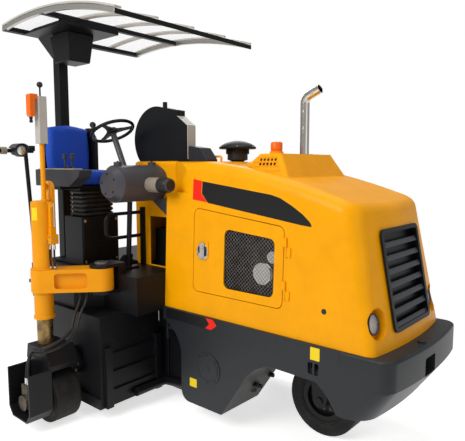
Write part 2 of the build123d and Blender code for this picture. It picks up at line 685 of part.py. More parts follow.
with BuildPart() as battery_box:
    block((-700, -360), (180, 620), (FRAME_DECK, 1380))
    fillet(battery_box.edges().filter_by(Axis.Z), radius=20)
finish(battery_box.part, "battery_box")

# Dome cover over the drive on the housing's roof, and the cowl at its foot on the hood
DOME_FRONT = -228.0
DOME_TOP = 2368.0
with BuildPart() as dome_cover:
    with BuildSketch(side_plane(200)):
        with BuildLine():
            Polyline((-560, DOME_TOP), (-341, 2326), (-341, 2280), (DOME_FRONT, 2202), (DOME_FRONT, HOOD_TOP),
                     (HOOD_REAR, HOOD_TOP), (HOOD_REAR, TUNNEL_TOP), (-789, TUNNEL_TOP))
            ThreePointArc((-789, TUNNEL_TOP), (-850, 2155), (-560, DOME_TOP))
        make_face()
    extrude(amount=90)
    rod((-521, 155, DOME_TOP - 40), (-521, 155, DOME_TOP + 34), 36)
finish(dome_cover.part, "dome_cover")

with BuildPart() as cowl:
    plate(side_plane(190), ((-172, HOOD_TOP - 20), (10, HOOD_TOP - 20), (10, HOOD_TOP + 14), (-60, 2030), (-172, 2046)), 120)
    add(hood_outer, mode=Mode.SUBTRACT)
finish(cowl.part, "cowl")

# Operator's console: a barrel across the machine with a faceted end, its bracket, lamp and column
BARREL = (-560.0, 1762.0)
BARREL_R = 140.0
BARREL_END = -330.0
WHEEL_HUB = Vector(-805, -150, 2170)
WHEEL_TILT = Vector(0.4475, 0, -0.8943)
WHEEL_R = 167.0
with BuildPart() as console:
    with BuildSketch(side_plane(TUNNEL_RIGHT)):
        with Locations(BARREL):
            Circle(BARREL_R)
    extrude(amount=TUNNEL_RIGHT - BARREL_END)
    for y, size in ((BARREL_END, BARREL_R - 4), (BARREL_END - 50, 105.0)):
        with BuildSketch(side_plane(y)):
            with Locations(BARREL):
                RegularPolygon(size, 10)
    loft(ruled=True)
    for y in (-290.0, 40.0):
        block((BARREL[0] - 30, BARREL[0] + 30), (y - 16, y + 16), (BARREL[1] + 100, BARREL[1] + 165))
    plate(side_plane(70), ((-610, 1640), (-400, 1640), (-400, 1500)), 12)
    # Round housing ahead of the barrel and the steering column behind it
    rod((-470, -100, 1755), (-250, -100, 1755), 104)
    rod((-250, -100, 1755), (-190, -100, 1755), 96)
    rod(WHEEL_HUB + WHEEL_TILT * 20, WHEEL_HUB + WHEEL_TILT * 345, 46)
    rod(WHEEL_HUB - WHEEL_TILT * 8, WHEEL_HUB + WHEEL_TILT * 20, 24)
finish(console.part, "console")

wheel_plane = Plane(origin=WHEEL_HUB, x_dir=(0, 1, 0), z_dir=-WHEEL_TILT)
with BuildPart() as steering_wheel:
    with BuildSketch(wheel_plane * Plane.XZ) as rim:
        with Locations((WHEEL_R, 0)):
            Circle(13)
    revolve(rim.sketch, axis=Axis(wheel_plane.origin, wheel_plane.z_dir), revolution_arc=360)
    with BuildSketch(wheel_plane.offset(-5)) as spokes:
        Circle(40)
        for angle in (90, 210, 330):
            with Locations(Location((0, 0), angle)):
                with Locations((WHEEL_R / 2, 0)):
                    Rectangle(WHEEL_R, 24)
    extrude(spokes.sketch, amount=10)
    with BuildSketch(wheel_plane.offset(-19)) as hub:
        Circle(34)
    extrude(hub.sketch, amount=36)
    with BuildSketch(wheel_plane.offset(-21)) as bore:
        Circle(12 + FIT)
    extrude(bore.sketch, amount=30, mode=Mode.SUBTRACT)
    with BuildSketch(wheel_plane.offset(8)) as knob:
        with Locations((-WHEEL_R, 0)):
            Circle(17)
    extrude(knob.sketch, amount=52)
finish(steering_wheel.part, "steering_wheel")

with BuildPart() as pedal_column:
    rod((-665, -100, 1650), (-700, -100, DECK_TOP - 14), 40)
    with BuildSketch(side_plane(TUNNEL_RIGHT)) as core:
        with Locations(BARREL):
            Circle(BARREL_R)
    extrude(core.sketch, amount=TUNNEL_RIGHT - BARREL_END, mode=Mode.SUBTRACT)
    block((-830, -640), (-160, -40), (FRAME_DECK, FRAME_DECK + 16))
    plate(side_plane(-60), ((-815, 1096), (-700, 1096), (-690, 1190), (-715, 1190)), 80)
    add(deck.part, mode=Mode.SUBTRACT)
finish(pedal_column.part, "pedal_column")

with BuildPart() as guard_rail:
    block((-742, -702), (TUNNEL_RIGHT - 26, TUNNEL_RIGHT), (FRAME_DECK, 1560))
    tube_run(((-722, TUNNEL_RIGHT - 20, 1520), (-722, -295, 1520), (-722, -295, 1330), (-722, TUNNEL_RIGHT - 20, 1330)), 60, 28)
finish(guard_rail.part, "guard_rail")

# Seat on its box and bellows, with the armrest console to the right
SEAT_RIGHT = SEAT_Y - SEAT_W / 2
SEAT_LEFT = SEAT_Y + SEAT_W / 2
ARMREST_IN = SEAT_RIGHT - 7.0
ARMREST_W = 108.0
ARMREST_OUT = ARMREST_IN - ARMREST_W
with BuildPart() as seat_base:
    block((-1190, -930), (SEAT_Y - 175, SEAT_Y + 175), (DECK_TOP, 1490))
    fillet(seat_base.edges().filter_by(Axis.Z), radius=14)
    block((-940, -900), (-240, -140), (1290, 1370), Mode.SUBTRACT)
finish(seat_base.part, "seat_base")

with BuildPart() as seat_bellows:
    fold = 36.0
    count = 6
    for i in range(count):
        block((-1150, -960), (SEAT_Y - 130, SEAT_Y + 135), (1490 + i * fold, 1490 + (i + 1) * fold))
        block((-1165, -945), (SEAT_Y - 145, SEAT_Y + 150), (1502 + i * fold, 1502 + i * fold + 14))
finish(seat_bellows.part, "seat_bellows")

with BuildPart() as seat:
    block((-1330, -900), (SEAT_RIGHT, SEAT_LEFT), (PAN_TOP, CUSHION_TOP))
    fillet(seat.edges().filter_by(Axis.Z), radius=60)
    fillet(seat.faces().sort_by(Axis.Z)[-1].edges(), radius=30)
    with BuildPart(mode=Mode.PRIVATE) as back:
        plate(side_plane(SEAT_LEFT), ((-1330, 1770), (-1330, 1866), (-1345, BACK_TOP), (-1436, BACK_TOP), (-1426, 1770)), SEAT_W)
        long_edges = [e for e in back.edges() if abs(e.tangent_at(0.5).Z) > 0.9]
        fillet(long_edges, radius=40)
        fillet(back.faces().sort_by(Axis.Z)[-1].edges(), radius=30)
    add(back.part)
finish(seat.part, "seat")

with BuildPart() as seat_shell:
    pan_low = 1490 + fold * count
    block((-1300, -930), (SEAT_Y - 190, SEAT_Y + 190), (pan_low, PAN_TOP))
    block((-1240, -980), (ARMREST_OUT, SEAT_Y - 190), (pan_low + 8, PAN_TOP))
    plate(side_plane(SEAT_LEFT + 34), ((-1300, PAN_TOP), (-1300, 2120), (-1380, 2230), (-1446, 2230), (-1446, 1720), (-1300, 1720)), 30)
    block((-1459, -1437), (SEAT_RIGHT + 10, SEAT_LEFT + 34), (1720, 2200))
    block((-1459, -1290), (SEAT_Y - 190, SEAT_LEFT + 34), (pan_low, 1732))
finish(seat_shell.part, "seat_shell")

with BuildPart() as armrest:
    top = PAN_TOP + 130
    lever_y = ARMREST_IN - ARMREST_W / 2
    plate(side_plane(ARMREST_IN), ((-1340, PAN_TOP), (-860, PAN_TOP), (-735, top - 58), (-710, top), (-1340, top)),
          ARMREST_W, radius=10)
    for x, tilt in ((-900.0, 10.0), (-980.0, -8.0)):
        rod((x, lever_y, top - 5), (x + tilt, lever_y, top + 80), 14)
        rod((x + tilt, lever_y, top + 80), (x + tilt * 1.5, lever_y, top + 120), 34)
    block((-1150, -1040), (ARMREST_OUT + 10, ARMREST_IN - 10), (top, top + 14))
finish(armrest.part, "armrest")

# Canopy: cross bars, ribs along an arc, clear panels and the box mount on one post
BAR_X, BAR_Z = zip(*CANOPY_BARS)


def canopy_band(low, high, y, width, mode=Mode.ADD):
    """A strip of the canopy that follows its arc, between two offsets from the panels' underside."""
    with BuildSketch(side_plane(y)) as band:
        with BuildLine():
            points = list(CANOPY_BARS)
            ThreePointArc(*[(x, z + low) for x, z in points])
            Line((points[2][0], points[2][1] + low), (points[2][0], points[2][1] + high))
            ThreePointArc(*[(x, z + high) for x, z in reversed(points)])
            Line((points[0][0], points[0][1] + high), (points[0][0], points[0][1] + low))
        make_face()
    extrude(band.sketch, amount=width, mode=mode)


with BuildPart() as canopy_panels:
    canopy_band(0, PANEL_T, CANOPY_LEFT, CANOPY_LEFT - CANOPY_RIGHT)
finish(canopy_panels.part, "canopy_panels")

with BuildPart() as canopy_ribs:
    canopy_band(PANEL_T, PANEL_T + RIB_T, CANOPY_RIGHT + 56, 56)
    for y in (-300.0, 40.0, 380.0, CANOPY_LEFT - 24):
        canopy_band(PANEL_T, PANEL_T + RIB_T, y + 24, 24)
finish(canopy_ribs.part, "canopy_ribs")

BAR_H = 34.0
with BuildPart() as canopy_frame:
    canopy_band(-BAR_H, 0, CANOPY_LEFT, CANOPY_LEFT - CANOPY_RIGHT)
    rail = 28.0
    for rear, front in ((BAR_X[0] + 40, BAR_X[1] - 22), (BAR_X[1] + 22, BAR_X[2] - 30)):
        block((rear, front), (CANOPY_RIGHT + rail, CANOPY_LEFT - rail), (2700, 3100), Mode.SUBTRACT)
finish(canopy_frame.part, "canopy_frame")

POST = ((-1560.0, -1468.0), (-201.0, -109.0))
MOUNT_Z = 2966.0
with BuildPart() as canopy_post:
    block(*POST, (FRAME_DECK, 2820))
    fillet(canopy_post.edges().filter_by(Axis.Z), radius=10)
    block((POST[0][0], FRAME_REAR), (-231, -79), (900, FRAME_DECK))
    sections = []
    for z, x, y in ((2820.0, *POST), (MOUNT_Z, (-1560, -1330), (-330, 0))):
        with BuildSketch(Plane.XY.offset(z)) as section:
            with Locations(((x[0] + x[1]) / 2, (y[0] + y[1]) / 2)):
                Rectangle(x[1] - x[0], y[1] - y[0])
        sections.append(section.sketch)
    loft(sections, ruled=True)
    block((BAR_X[0] + 2, BAR_X[1] + 20), (-475, 45), (MOUNT_Z, MOUNT_Z + 22))
    block((BAR_X[1] - 22, BAR_X[1] + 20), (-475, 45), (MOUNT_Z, 3020))
    block((BAR_X[0] + 2, BAR_X[0] + 40), (-475, 45), (MOUNT_Z, 3020))
    canopy_band(-BAR_H, 120, CANOPY_LEFT, CANOPY_LEFT - CANOPY_RIGHT, Mode.SUBTRACT)
    for piece in (rear_frame.part, deck.part):
        add(piece, mode=Mode.SUBTRACT)
finish(canopy_post.part, "canopy_post")

# Work lamp on its slanted post at the rear right
with BuildPart() as lamp_post:
    plate(front_plane(-1180), ((-640, 1000), (-500, 1000), (-500, 1012), (-628, 1012)), 60)
    rod((-1150, -640, 1006), (-1150, -700, 2010), 30)
    block((-1175, -1125), (-700, -616), (994, 1018))
    rod((-1150, -930, 2010), (-1150, -640, 2010), 30)
    rod((-1150, -655, 2010), (-1150, -655, 2050), 60)
    rod((-1140, -790, 2010), (-1085, -790, 2010), 70)
    rod((-1085, -790, 2010), (-1030, -790, 2010), 92)
finish(lamp_post.part, "work_lamp")

# Drum housing, open at the bottom, with bearing walls and a ribbed front
with BuildPart() as drum_housing:
    block((HOUSING_REAR, HOUSING_FRONT), (HOUSING_RIGHT, HOUSING_LEFT), (HOUSING_BOTTOM, HOUSING_TOP))
    block((HOUSING_REAR + HOUSING_WALL, HOUSING_FRONT - HOUSING_WALL),
          (HOUSING_RIGHT + HOUSING_WALL, HOUSING_LEFT - HOUSING_WALL),
          (HOUSING_BOTTOM - 1, HOUSING_TOP - HOUSING_WALL), Mode.SUBTRACT)
    rod((DRUM_X, HOUSING_RIGHT - 1, DRUM_Z), (DRUM_X, HOUSING_LEFT + 1, DRUM_Z), DRUM_SHAFT_D, Mode.SUBTRACT)
    for start, end in ((HOUSING_RIGHT - 25, HOUSING_RIGHT), (HOUSING_LEFT, HOUSING_LEFT + 25)):
        rod((DRUM_X, start, DRUM_Z), (DRUM_X, end, DRUM_Z), 210)
    for z in (190.0, 330.0, 470.0):
        block((HOUSING_FRONT, HOUSING_FRONT + 18), (HOUSING_RIGHT + 30, HOUSING_LEFT), (z, z + 40))
    # The right rib stands in from the corner, so that the wheel swings past it
    for y in (HOUSING_RIGHT + 30, HOUSING_LEFT - 60):
        block((HOUSING_FRONT, HOUSING_FRONT + 30), (y, y + 60), (HOUSING_BOTTOM, 560))
    block((HOUSING_REAR, HOUSING_FRONT), (HOUSING_RIGHT - 14, HOUSING_RIGHT), (HOUSING_BOTTOM, 180))
finish(drum_housing.part, "drum_housing")

# Milling drum: a tube with holders and picks in two helices
PICK_COUNT = 36
with BuildPart() as milling_drum:
    drum_right = HOUSING_RIGHT + HOUSING_WALL + 13
    rod((DRUM_X, drum_right, DRUM_Z), (DRUM_X, drum_right + DRUM_LENGTH, DRUM_Z), 2 * DRUM_TUBE_R)
    rod((DRUM_X, HOUSING_RIGHT + 1, DRUM_Z), (DRUM_X, HOUSING_LEFT - 1, DRUM_Z), DRUM_SHAFT_D - 2 * FIT)
    pieces = []
    for i in range(PICK_COUNT):
        across = drum_right + 14 + (DRUM_LENGTH - 28) * (i + 0.5) / PICK_COUNT
        angle = 180.0 * (i % 2) + 360.0 * 1.5 * i / PICK_COUNT
        seat = Location((DRUM_X, across, DRUM_Z), (0, angle, 0))
        with Locations(seat * Location((0, 0, DRUM_TUBE_R + 16))):
            pieces.append(Box(46, 26, 44, mode=Mode.PRIVATE))
        with Locations(seat * Location((14, 0, DRUM_TUBE_R + 54), (0, 28, 0))):
            pieces.append(Cone(15, 5, 44, mode=Mode.PRIVATE))
    add(pieces)
finish(milling_drum.part, "milling_drum")

# Swing arm and its column on the right; the left column stands in the frame
arm_run = Vector(RIGHT_COLUMN[0] - PIVOT_X, RIGHT_COLUMN[1] - PIVOT_Y)
arm_turn = degrees(atan2(arm_run.Y, arm_run.X))
with BuildPart() as swing_arm:
    with BuildSketch(Plane.XY.offset(ARM_BOTTOM)):
        with Locations(((PIVOT_X + RIGHT_COLUMN[0]) / 2, (PIVOT_Y + RIGHT_COLUMN[1]) / 2)):
            SlotCenterToCenter(arm_run.length, ARM_W, rotation=arm_turn)
    extrude(amount=ARM_TOP - ARM_BOTTOM)
    outer_face = Plane(origin=((PIVOT_X + RIGHT_COLUMN[0]) / 2, (PIVOT_Y + RIGHT_COLUMN[1]) / 2, (ARM_BOTTOM + ARM_TOP) / 2),
                       x_dir=(cos(radians(arm_turn)), sin(radians(arm_turn)), 0),
                       z_dir=(-sin(radians(arm_turn)), cos(radians(arm_turn)), 0))
    for face in (1, -1):
        with BuildSketch(outer_face.offset(face * ARM_W / 2)) as pocket:
            RectangleRounded(arm_run.length - 190, ARM_TOP - ARM_BOTTOM - 56, 24)
        extrude(pocket.sketch, amount=-face * 34, mode=Mode.SUBTRACT)
    rod((PIVOT_X, PIVOT_Y, ARM_BOTTOM - 1), (PIVOT_X, PIVOT_Y, ARM_TOP + 1), PIVOT_PIN_D + 2 * FIT, Mode.SUBTRACT)
    rod((*RIGHT_COLUMN, ARM_BOTTOM - 1), (*RIGHT_COLUMN, ARM_TOP + 1), TUBE_D + 2 * SEAT_GAP, Mode.SUBTRACT)
finish(swing_arm.part, "swing_arm")

for name, at in (("right", RIGHT_COLUMN), ("left", LEFT_COLUMN)):
    with BuildPart() as column:
        rod((*at, TUBE_BOTTOM), (*at, COLUMN_TOP), TUBE_D)
        plate(side_plane(at[1] + TUBE_D / 2 + 16), ((at[0] - 65, 1430), (at[0] + 55, 1430), (at[0] + 55, 1790), (at[0] - 65, 1790)),
              28, radius=46)
        rod((at[0] - 10, at[1] + TUBE_D / 2 - 20, 1740), (at[0] - 10, at[1] + TUBE_D / 2 + 20, 1740), 54, Mode.SUBTRACT)
        if name == "right":
            block((at[0] + TUBE_D / 2 - 9, at[0] + TUBE_D / 2 + 50), (at[1] + 4, at[1] + 76), (1330, COLUMN_TOP - 20))
            rod((*at, ARM_TOP), (*at, ARM_TOP + 32), TUBE_D + 40)
            rod((*at, ARM_BOTTOM - 32), (*at, ARM_BOTTOM), TUBE_D + 30)
        rod((*at, TUBE_BOTTOM), (*at, TUBE_BOTTOM + 24), TUBE_D + 16)
        rod((*at, TUBE_BOTTOM - 1), (*at, COLUMN_TOP - 20), ROD_D + 2 * FIT, Mode.SUBTRACT)
    finish(column.part, f"column_{name}")

GAUGE = (-868.0, -722.0)
with BuildPart() as depth_gauge:
    rod((*GAUGE, COLUMN_TOP), (*GAUGE, 2056), 34)
    block((GAUGE[0] - 33, GAUGE[0] + 33), (GAUGE[1] - 33, GAUGE[1] + 33), (2056, 2390))
    rod((*GAUGE, 2390), (*GAUGE, 2460), 12)
    with Locations((*GAUGE, 2472)):
        Sphere(21)
    hook_y = GAUGE[1] - 31
    tube_run(((GAUGE[0], hook_y, 2376), (GAUGE[0], hook_y - 40, 2376), (GAUGE[0], hook_y - 40, 2270),
              (GAUGE[0], hook_y - 100, 2270), (GAUGE[0], hook_y - 100, 2340)), 20, 14)
finish(depth_gauge.part, "depth_gauge")

GUARD_OUTER = ((-950, 460), (-950, 170), (-900, 108), (-700, 108), (-650, 170), (-650, 460))
GUARD_INNER = ((-936, 461), (-936, 175), (-893, 120), (-707, 120), (-664, 175), (-664, 461))

# Lifting legs: chrome rod, yoke with the wheel plate, drive motor and its guard, hub and tyre
for name, wheel_y, at in (("right", RIGHT_Y, RIGHT_COLUMN), ("left", LEFT_Y, LEFT_COLUMN)):
    with BuildPart() as leg_rod:
        rod((*at, YOKE_TOP), (*at, ROD_TOP), ROD_D)
    finish(leg_rod.part, f"leg_rod_{name}")

    plate_y = wheel_y - REAR_W / 2 - 15
    with BuildPart() as yoke:
        plate(side_plane(wheel_y + 100), ((-1010, 470), (-960, YOKE_BOTTOM), (-690, YOKE_BOTTOM), (-670, 470),
                                          (-740, YOKE_TOP), (-990, YOKE_TOP)), 230)
        with BuildSketch(side_plane(plate_y)) as hanger:
            with BuildLine():
                Polyline((REAR_X - 130, REAR_R), (REAR_X - 130, 500), (REAR_X + 130, 500), (REAR_X + 130, REAR_R))
                ThreePointArc((REAR_X + 130, REAR_R), (REAR_X, REAR_R - 130), (REAR_X - 130, REAR_R))
            make_face()
        extrude(hanger.sketch, amount=20)
        rod((REAR_X, plate_y, REAR_R), (REAR_X, wheel_y + 70, REAR_R), 60)
        # Open-topped guard round the drive motor
        plate(side_plane(plate_y - 20), GUARD_OUTER, 175)
        plate(side_plane(plate_y - 20), GUARD_INNER, 176, mode=Mode.SUBTRACT)
    finish(yoke.part, f"yoke_{name}")

    with BuildPart() as motor:
        rod((REAR_X, plate_y - 20, REAR_R), (REAR_X, plate_y - 70, REAR_R), 150)
        rod((REAR_X, plate_y - 70, REAR_R), (REAR_X, plate_y - 150, REAR_R), 112)
        block((REAR_X - 42, REAR_X + 42), (plate_y - 130, plate_y - 40), (REAR_R + 50, REAR_R + 130))
    finish(motor.part, f"motor_{name}")

    with BuildPart() as hub:
        rod((REAR_X, wheel_y - 85, REAR_R), (REAR_X, wheel_y + 85, REAR_R), 260)
        rod((REAR_X, wheel_y - 86, REAR_R), (REAR_X, wheel_y + 75, REAR_R), 60 + 2 * FIT, Mode.SUBTRACT)
        rod((REAR_X, wheel_y + 50, REAR_R), (REAR_X, wheel_y + 86, REAR_R), 190, Mode.SUBTRACT)
        rod((REAR_X, wheel_y + 50, REAR_R), (REAR_X, wheel_y + 80, REAR_R), 120)
        rod((REAR_X, wheel_y + 20, REAR_R), (REAR_X, wheel_y + 72, REAR_R), 60 + 2 * FIT, Mode.SUBTRACT)
    finish(hub.part, f"hub_{name}")

    with BuildPart() as tyre:
        rod((REAR_X, wheel_y - REAR_W / 2, REAR_R), (REAR_X, wheel_y + REAR_W / 2, REAR_R), 2 * REAR_R)
        fillet(tyre.edges().filter_by(GeomType.CIRCLE), radius=14)
        rod((REAR_X, wheel_y - REAR_W, REAR_R), (REAR_X, wheel_y + REAR_W, REAR_R), 260, Mode.SUBTRACT)
    finish(tyre.part, f"tyre_{name}")

# Hydraulic hoses from the arm or frame down to the drive motors
with BuildPart() as hoses_right:
    for shift in (0.0, 34.0):
        drop_x = REAR_X - 14 + shift * 0.9
        tube_run(((-668 - shift, -512 - shift, ARM_BOTTOM), (-668 - shift, -512 - shift, 905), (-640 - shift / 2, -600 - shift, 820),
                  (-620, -660 - shift, 650 + shift), (-620, -890 - shift, 600 + shift), (drop_x, -920, 560 + shift),
                  (drop_x, -920, REAR_R + 130)), 34, 22)
finish(hoses_right.part, "hoses_right")

with BuildPart() as hoses_left:
    for shift in (0.0, 34.0):
        tube_run(((-600 + shift, 640, HOUSING_TOP), (-600 + shift, 640, 660), (REAR_X - 14 + shift * 0.9, 640, 600),
                  (REAR_X - 14 + shift * 0.9, 640, REAR_R + 130)), 36, 22)
finish(hoses_left.part, "hoses_left")

# Front wheel in its steered fork
with BuildPart() as front_fork:
    rod((FRONT_X, CENTRE_Y, CROWN_TOP), (FRONT_X, CENTRE_Y, KINGPIN_TOP), KINGPIN_D)
    inner = FRONT_W / 2 + FORK_CLEAR
    block((FRONT_X - 100, FRONT_X + 100), (CENTRE_Y - inner - FORK_LEG, CENTRE_Y + inner + FORK_LEG), (CROWN_BOTTOM, CROWN_TOP))
    for side in (1, -1):
        face = CENTRE_Y + side * (inner + (FORK_LEG if side > 0 else 0))
        with BuildSketch(side_plane(face)) as leg:
            with BuildLine():
                Polyline((FRONT_X - 55, FRONT_R), (FRONT_X - 90, CROWN_BOTTOM + 10), (FRONT_X + 90, CROWN_BOTTOM + 10), (FRONT_X + 55, FRONT_R))
                ThreePointArc((FRONT_X + 55, FRONT_R), (FRONT_X, FRONT_R - 55), (FRONT_X - 55, FRONT_R))
            make_face()
        extrude(leg.sketch, amount=FORK_LEG)
    rod((FRONT_X, CENTRE_Y - inner - FORK_LEG - 12, FRONT_R), (FRONT_X, CENTRE_Y + inner + FORK_LEG + 12, FRONT_R), 50)
finish(front_fork.part, "front_fork")

with BuildPart() as front_hub:
    rod((FRONT_X, CENTRE_Y - 84, FRONT_R), (FRONT_X, CENTRE_Y + 84, FRONT_R), 330)
    for side in (-1, 1):
        rod((FRONT_X, CENTRE_Y + side * 40, FRONT_R), (FRONT_X, CENTRE_Y + side * 85, FRONT_R), 250, Mode.SUBTRACT)
    rod((FRONT_X, CENTRE_Y - 92, FRONT_R), (FRONT_X, CENTRE_Y + 92, FRONT_R), 110)
    rod((FRONT_X, CENTRE_Y - 93, FRONT_R), (FRONT_X, CENTRE_Y + 93, FRONT_R), 50 + 2 * FIT, Mode.SUBTRACT)
finish(front_hub.part, "front_hub")

with BuildPart() as front_tyre:
    rod((FRONT_X, CENTRE_Y - FRONT_W / 2, FRONT_R), (FRONT_X, CENTRE_Y + FRONT_W / 2, FRONT_R), 2 * FRONT_R)
    fillet(front_tyre.edges().filter_by(GeomType.CIRCLE), radius=16)
    rod((FRONT_X, CENTRE_Y - FRONT_W, FRONT_R), (FRONT_X, CENTRE_Y + FRONT_W, FRONT_R), 330, Mode.SUBTRACT)
finish(front_tyre.part, "front_tyre")
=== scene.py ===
"""Looks of the cold planer: paint, rubber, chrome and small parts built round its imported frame.

Frame: +X forwards, +Y to the driver's left, +Z up, the ground at z = 0, metres throughout.
"""

import json
import math

import bmesh
import bpy
from mathutils import Matrix, Vector

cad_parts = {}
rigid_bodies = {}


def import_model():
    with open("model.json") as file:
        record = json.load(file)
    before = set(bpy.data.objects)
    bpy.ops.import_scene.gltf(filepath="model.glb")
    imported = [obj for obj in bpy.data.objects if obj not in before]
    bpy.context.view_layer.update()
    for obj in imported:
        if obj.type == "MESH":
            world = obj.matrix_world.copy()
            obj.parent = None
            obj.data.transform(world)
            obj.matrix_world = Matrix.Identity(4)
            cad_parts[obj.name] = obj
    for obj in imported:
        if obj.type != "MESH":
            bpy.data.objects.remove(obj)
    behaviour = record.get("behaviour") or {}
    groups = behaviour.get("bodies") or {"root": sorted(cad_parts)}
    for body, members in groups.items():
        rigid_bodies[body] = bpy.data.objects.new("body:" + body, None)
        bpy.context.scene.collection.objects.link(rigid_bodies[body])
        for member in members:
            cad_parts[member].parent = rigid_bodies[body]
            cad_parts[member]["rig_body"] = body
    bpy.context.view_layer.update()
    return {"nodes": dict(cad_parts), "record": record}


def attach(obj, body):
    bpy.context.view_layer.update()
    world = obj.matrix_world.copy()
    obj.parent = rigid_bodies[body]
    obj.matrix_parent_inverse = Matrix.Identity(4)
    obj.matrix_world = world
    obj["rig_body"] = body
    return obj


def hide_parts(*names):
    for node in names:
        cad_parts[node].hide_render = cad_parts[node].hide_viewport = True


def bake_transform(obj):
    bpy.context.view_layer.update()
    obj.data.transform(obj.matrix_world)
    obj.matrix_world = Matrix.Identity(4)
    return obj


MM = 0.001

# Empty the file that Blender opens with
for old in list(bpy.data.objects):
    bpy.data.objects.remove(old)

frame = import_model()
nodes = frame["nodes"]


# Materials

# Sizes of the patterns in millimetres; real dust and grain are finer, and drawn coarser so that they show
CLOUD = 200
SPECK = 1000 / 90
SMEAR = 1000 / 14
SMUDGE = 1000 / 9
COARSER_GRAIN = 4
DRY_DUST = "9A9080"


def linear(code):
    """The linear colour of an sRGB hex code."""
    channels = [int(code[i:i + 2], 16) / 255 for i in (0, 2, 4)]
    return [c / 12.92 if c <= 0.04045 else ((c + 0.055) / 1.055)**2.4 for c in channels] + [1.0]


def put(tree, kind, inputs=None, **settings):
    """Adds a node, sets what is given and links each input that is given another node's output."""
    made = tree.nodes.new(kind)
    for name, value in settings.items():
        setattr(made, name, value)
    for name, value in (inputs or {}).items():
        if isinstance(value, bpy.types.NodeSocket):
            tree.links.new(value, made.inputs[name])
        else:
            made.inputs[name].default_value = value
    return made


def maths(tree, operation, *values, clamp=False):
    """The result of one sum."""
    sum_node = put(tree, "ShaderNodeMath", dict(enumerate(values)), operation=operation, use_clamp=clamp)
    return sum_node.outputs[0]


def ranged(tree, value, low, high, to_low=0.0, to_high=1.0, **settings):
    """A value moved from one range to another."""
    inputs = {"Value": value, "From Min": low, "From Max": high, "To Min": to_low, "To Max": to_high}
    return put(tree, "ShaderNodeMapRange", inputs, **settings).outputs["Result"]


def mixed(tree, factor, first, second):
    """A colour between two colours."""
    blend = put(tree, "ShaderNodeMix", {"Factor": factor, "A": first, "B": second}, data_type="RGBA")
    return blend.outputs["Result"]


def noise(tree, size_mm, detail, roughness=0.5):
    """Uneven patches of about a size on the piece."""
    place = put(tree, "ShaderNodeTexCoord").outputs["Object"]
    return put(tree, "ShaderNodeTexNoise", {"Vector": place, "Scale": 1 / (size_mm * MM), "Detail": detail,
                                            "Roughness": roughness}).outputs["Fac"]


def empty_material(name):
    """A material without nodes, and its node tree."""
    material = bpy.data.materials.new(name)
    material.use_nodes = True
    material.node_tree.nodes.clear()
    return material, material.node_tree


def shaded(material, inputs):
    """Ends a material with a principled shader."""
    shader = put(material.node_tree, "ShaderNodeBsdfPrincipled", inputs)
    put(material.node_tree, "ShaderNodeOutputMaterial", {"Surface": shader.outputs["BSDF"]})
    return material


def sprayed_paint(name, code, roughness, film_amount, dust_and_sheen_code="A89C86", gloss=0.5, coat=0.0):
    """Sprayed enamel: a slightly uneven shade, with a paler film on the faces that look up: dust, and on the
    slate paint also a painted sheen.
    """
    material, tree = empty_material(name)
    cloud = noise(tree, CLOUD, 4.0, 0.6)
    shade = ranged(tree, cloud, 0.3, 0.7, 0.93, 1.04)
    tinted = put(tree, "ShaderNodeVectorMath", {0: linear(code)[:3], "Scale": shade}, operation="SCALE")
    normal = put(tree, "ShaderNodeNewGeometry").outputs["Normal"]
    up = put(tree, "ShaderNodeSeparateXYZ", {"Vector": normal}).outputs["Z"]
    lying = ranged(tree, up, 0.2, 0.95, 0.15)
    speckle = maths(tree, "MULTIPLY", noise(tree, SPECK, 3.0, 0.7), cloud)
    film = maths(tree, "MULTIPLY", maths(tree, "MULTIPLY", speckle, lying), 4.0 * film_amount, clamp=True)
    return shaded(material, {"Base Color": mixed(tree, film, tinted.outputs[0], linear(dust_and_sheen_code)),
                             "Roughness": maths(tree, "MULTIPLY_ADD", film, 0.5, roughness),
                             "Coat Weight": coat, "Coat Roughness": 0.08, "Specular IOR Level": gloss})


def bare_metal(name, code, roughness, smear, smear_code):
    """Bare metal: polished or rough, with a film of grease or rust in patches."""
    material, tree = empty_material(name)
    film = ranged(tree, noise(tree, SMEAR, 5.0, 0.65), 0.62 - 0.3 * smear, 0.85 - 0.2 * smear)
    return shaded(material, {"Base Color": mixed(tree, film, linear(code), linear(smear_code)),
                             "Metallic": ranged(tree, film, 0.0, 1.0, 1.0, 0.35),
                             "Roughness": ranged(tree, film, 0.0, 1.0, roughness, 0.6)})


def moulded(name, code, roughness, grain_mm=0.0, grain_depth=0.0, film_amount=0.0):
    """Moulded rubber or plastic, or plain film: its grain a fine bump, with dust where it is given."""
    material, tree = empty_material(name)
    film = ranged(tree, noise(tree, SMUDGE, 5.0, 0.65), 0.4, 0.8, 0.0, film_amount)
    inputs = {"Base Color": mixed(tree, film, linear(code), linear(DRY_DUST)), "Roughness": roughness,
              "Specular IOR Level": 0.3}
    if grain_mm:
        grain = noise(tree, grain_mm * COARSER_GRAIN, 2.0)
        bump = put(tree, "ShaderNodeBump", {"Height": grain, "Strength": grain_depth, "Distance": MM})
        inputs["Normal"] = bump.outputs["Normal"]
    return shaded(material, inputs)


def clear(name, code, roughness, ior, tint):
    """Clear sheet or glass: partly see-through, the rest a glossy skin of its own colour."""
    material, tree = empty_material(name)
    return shaded(material, {"Base Color": linear(code), "Roughness": roughness, "IOR": ior, "Alpha": tint})


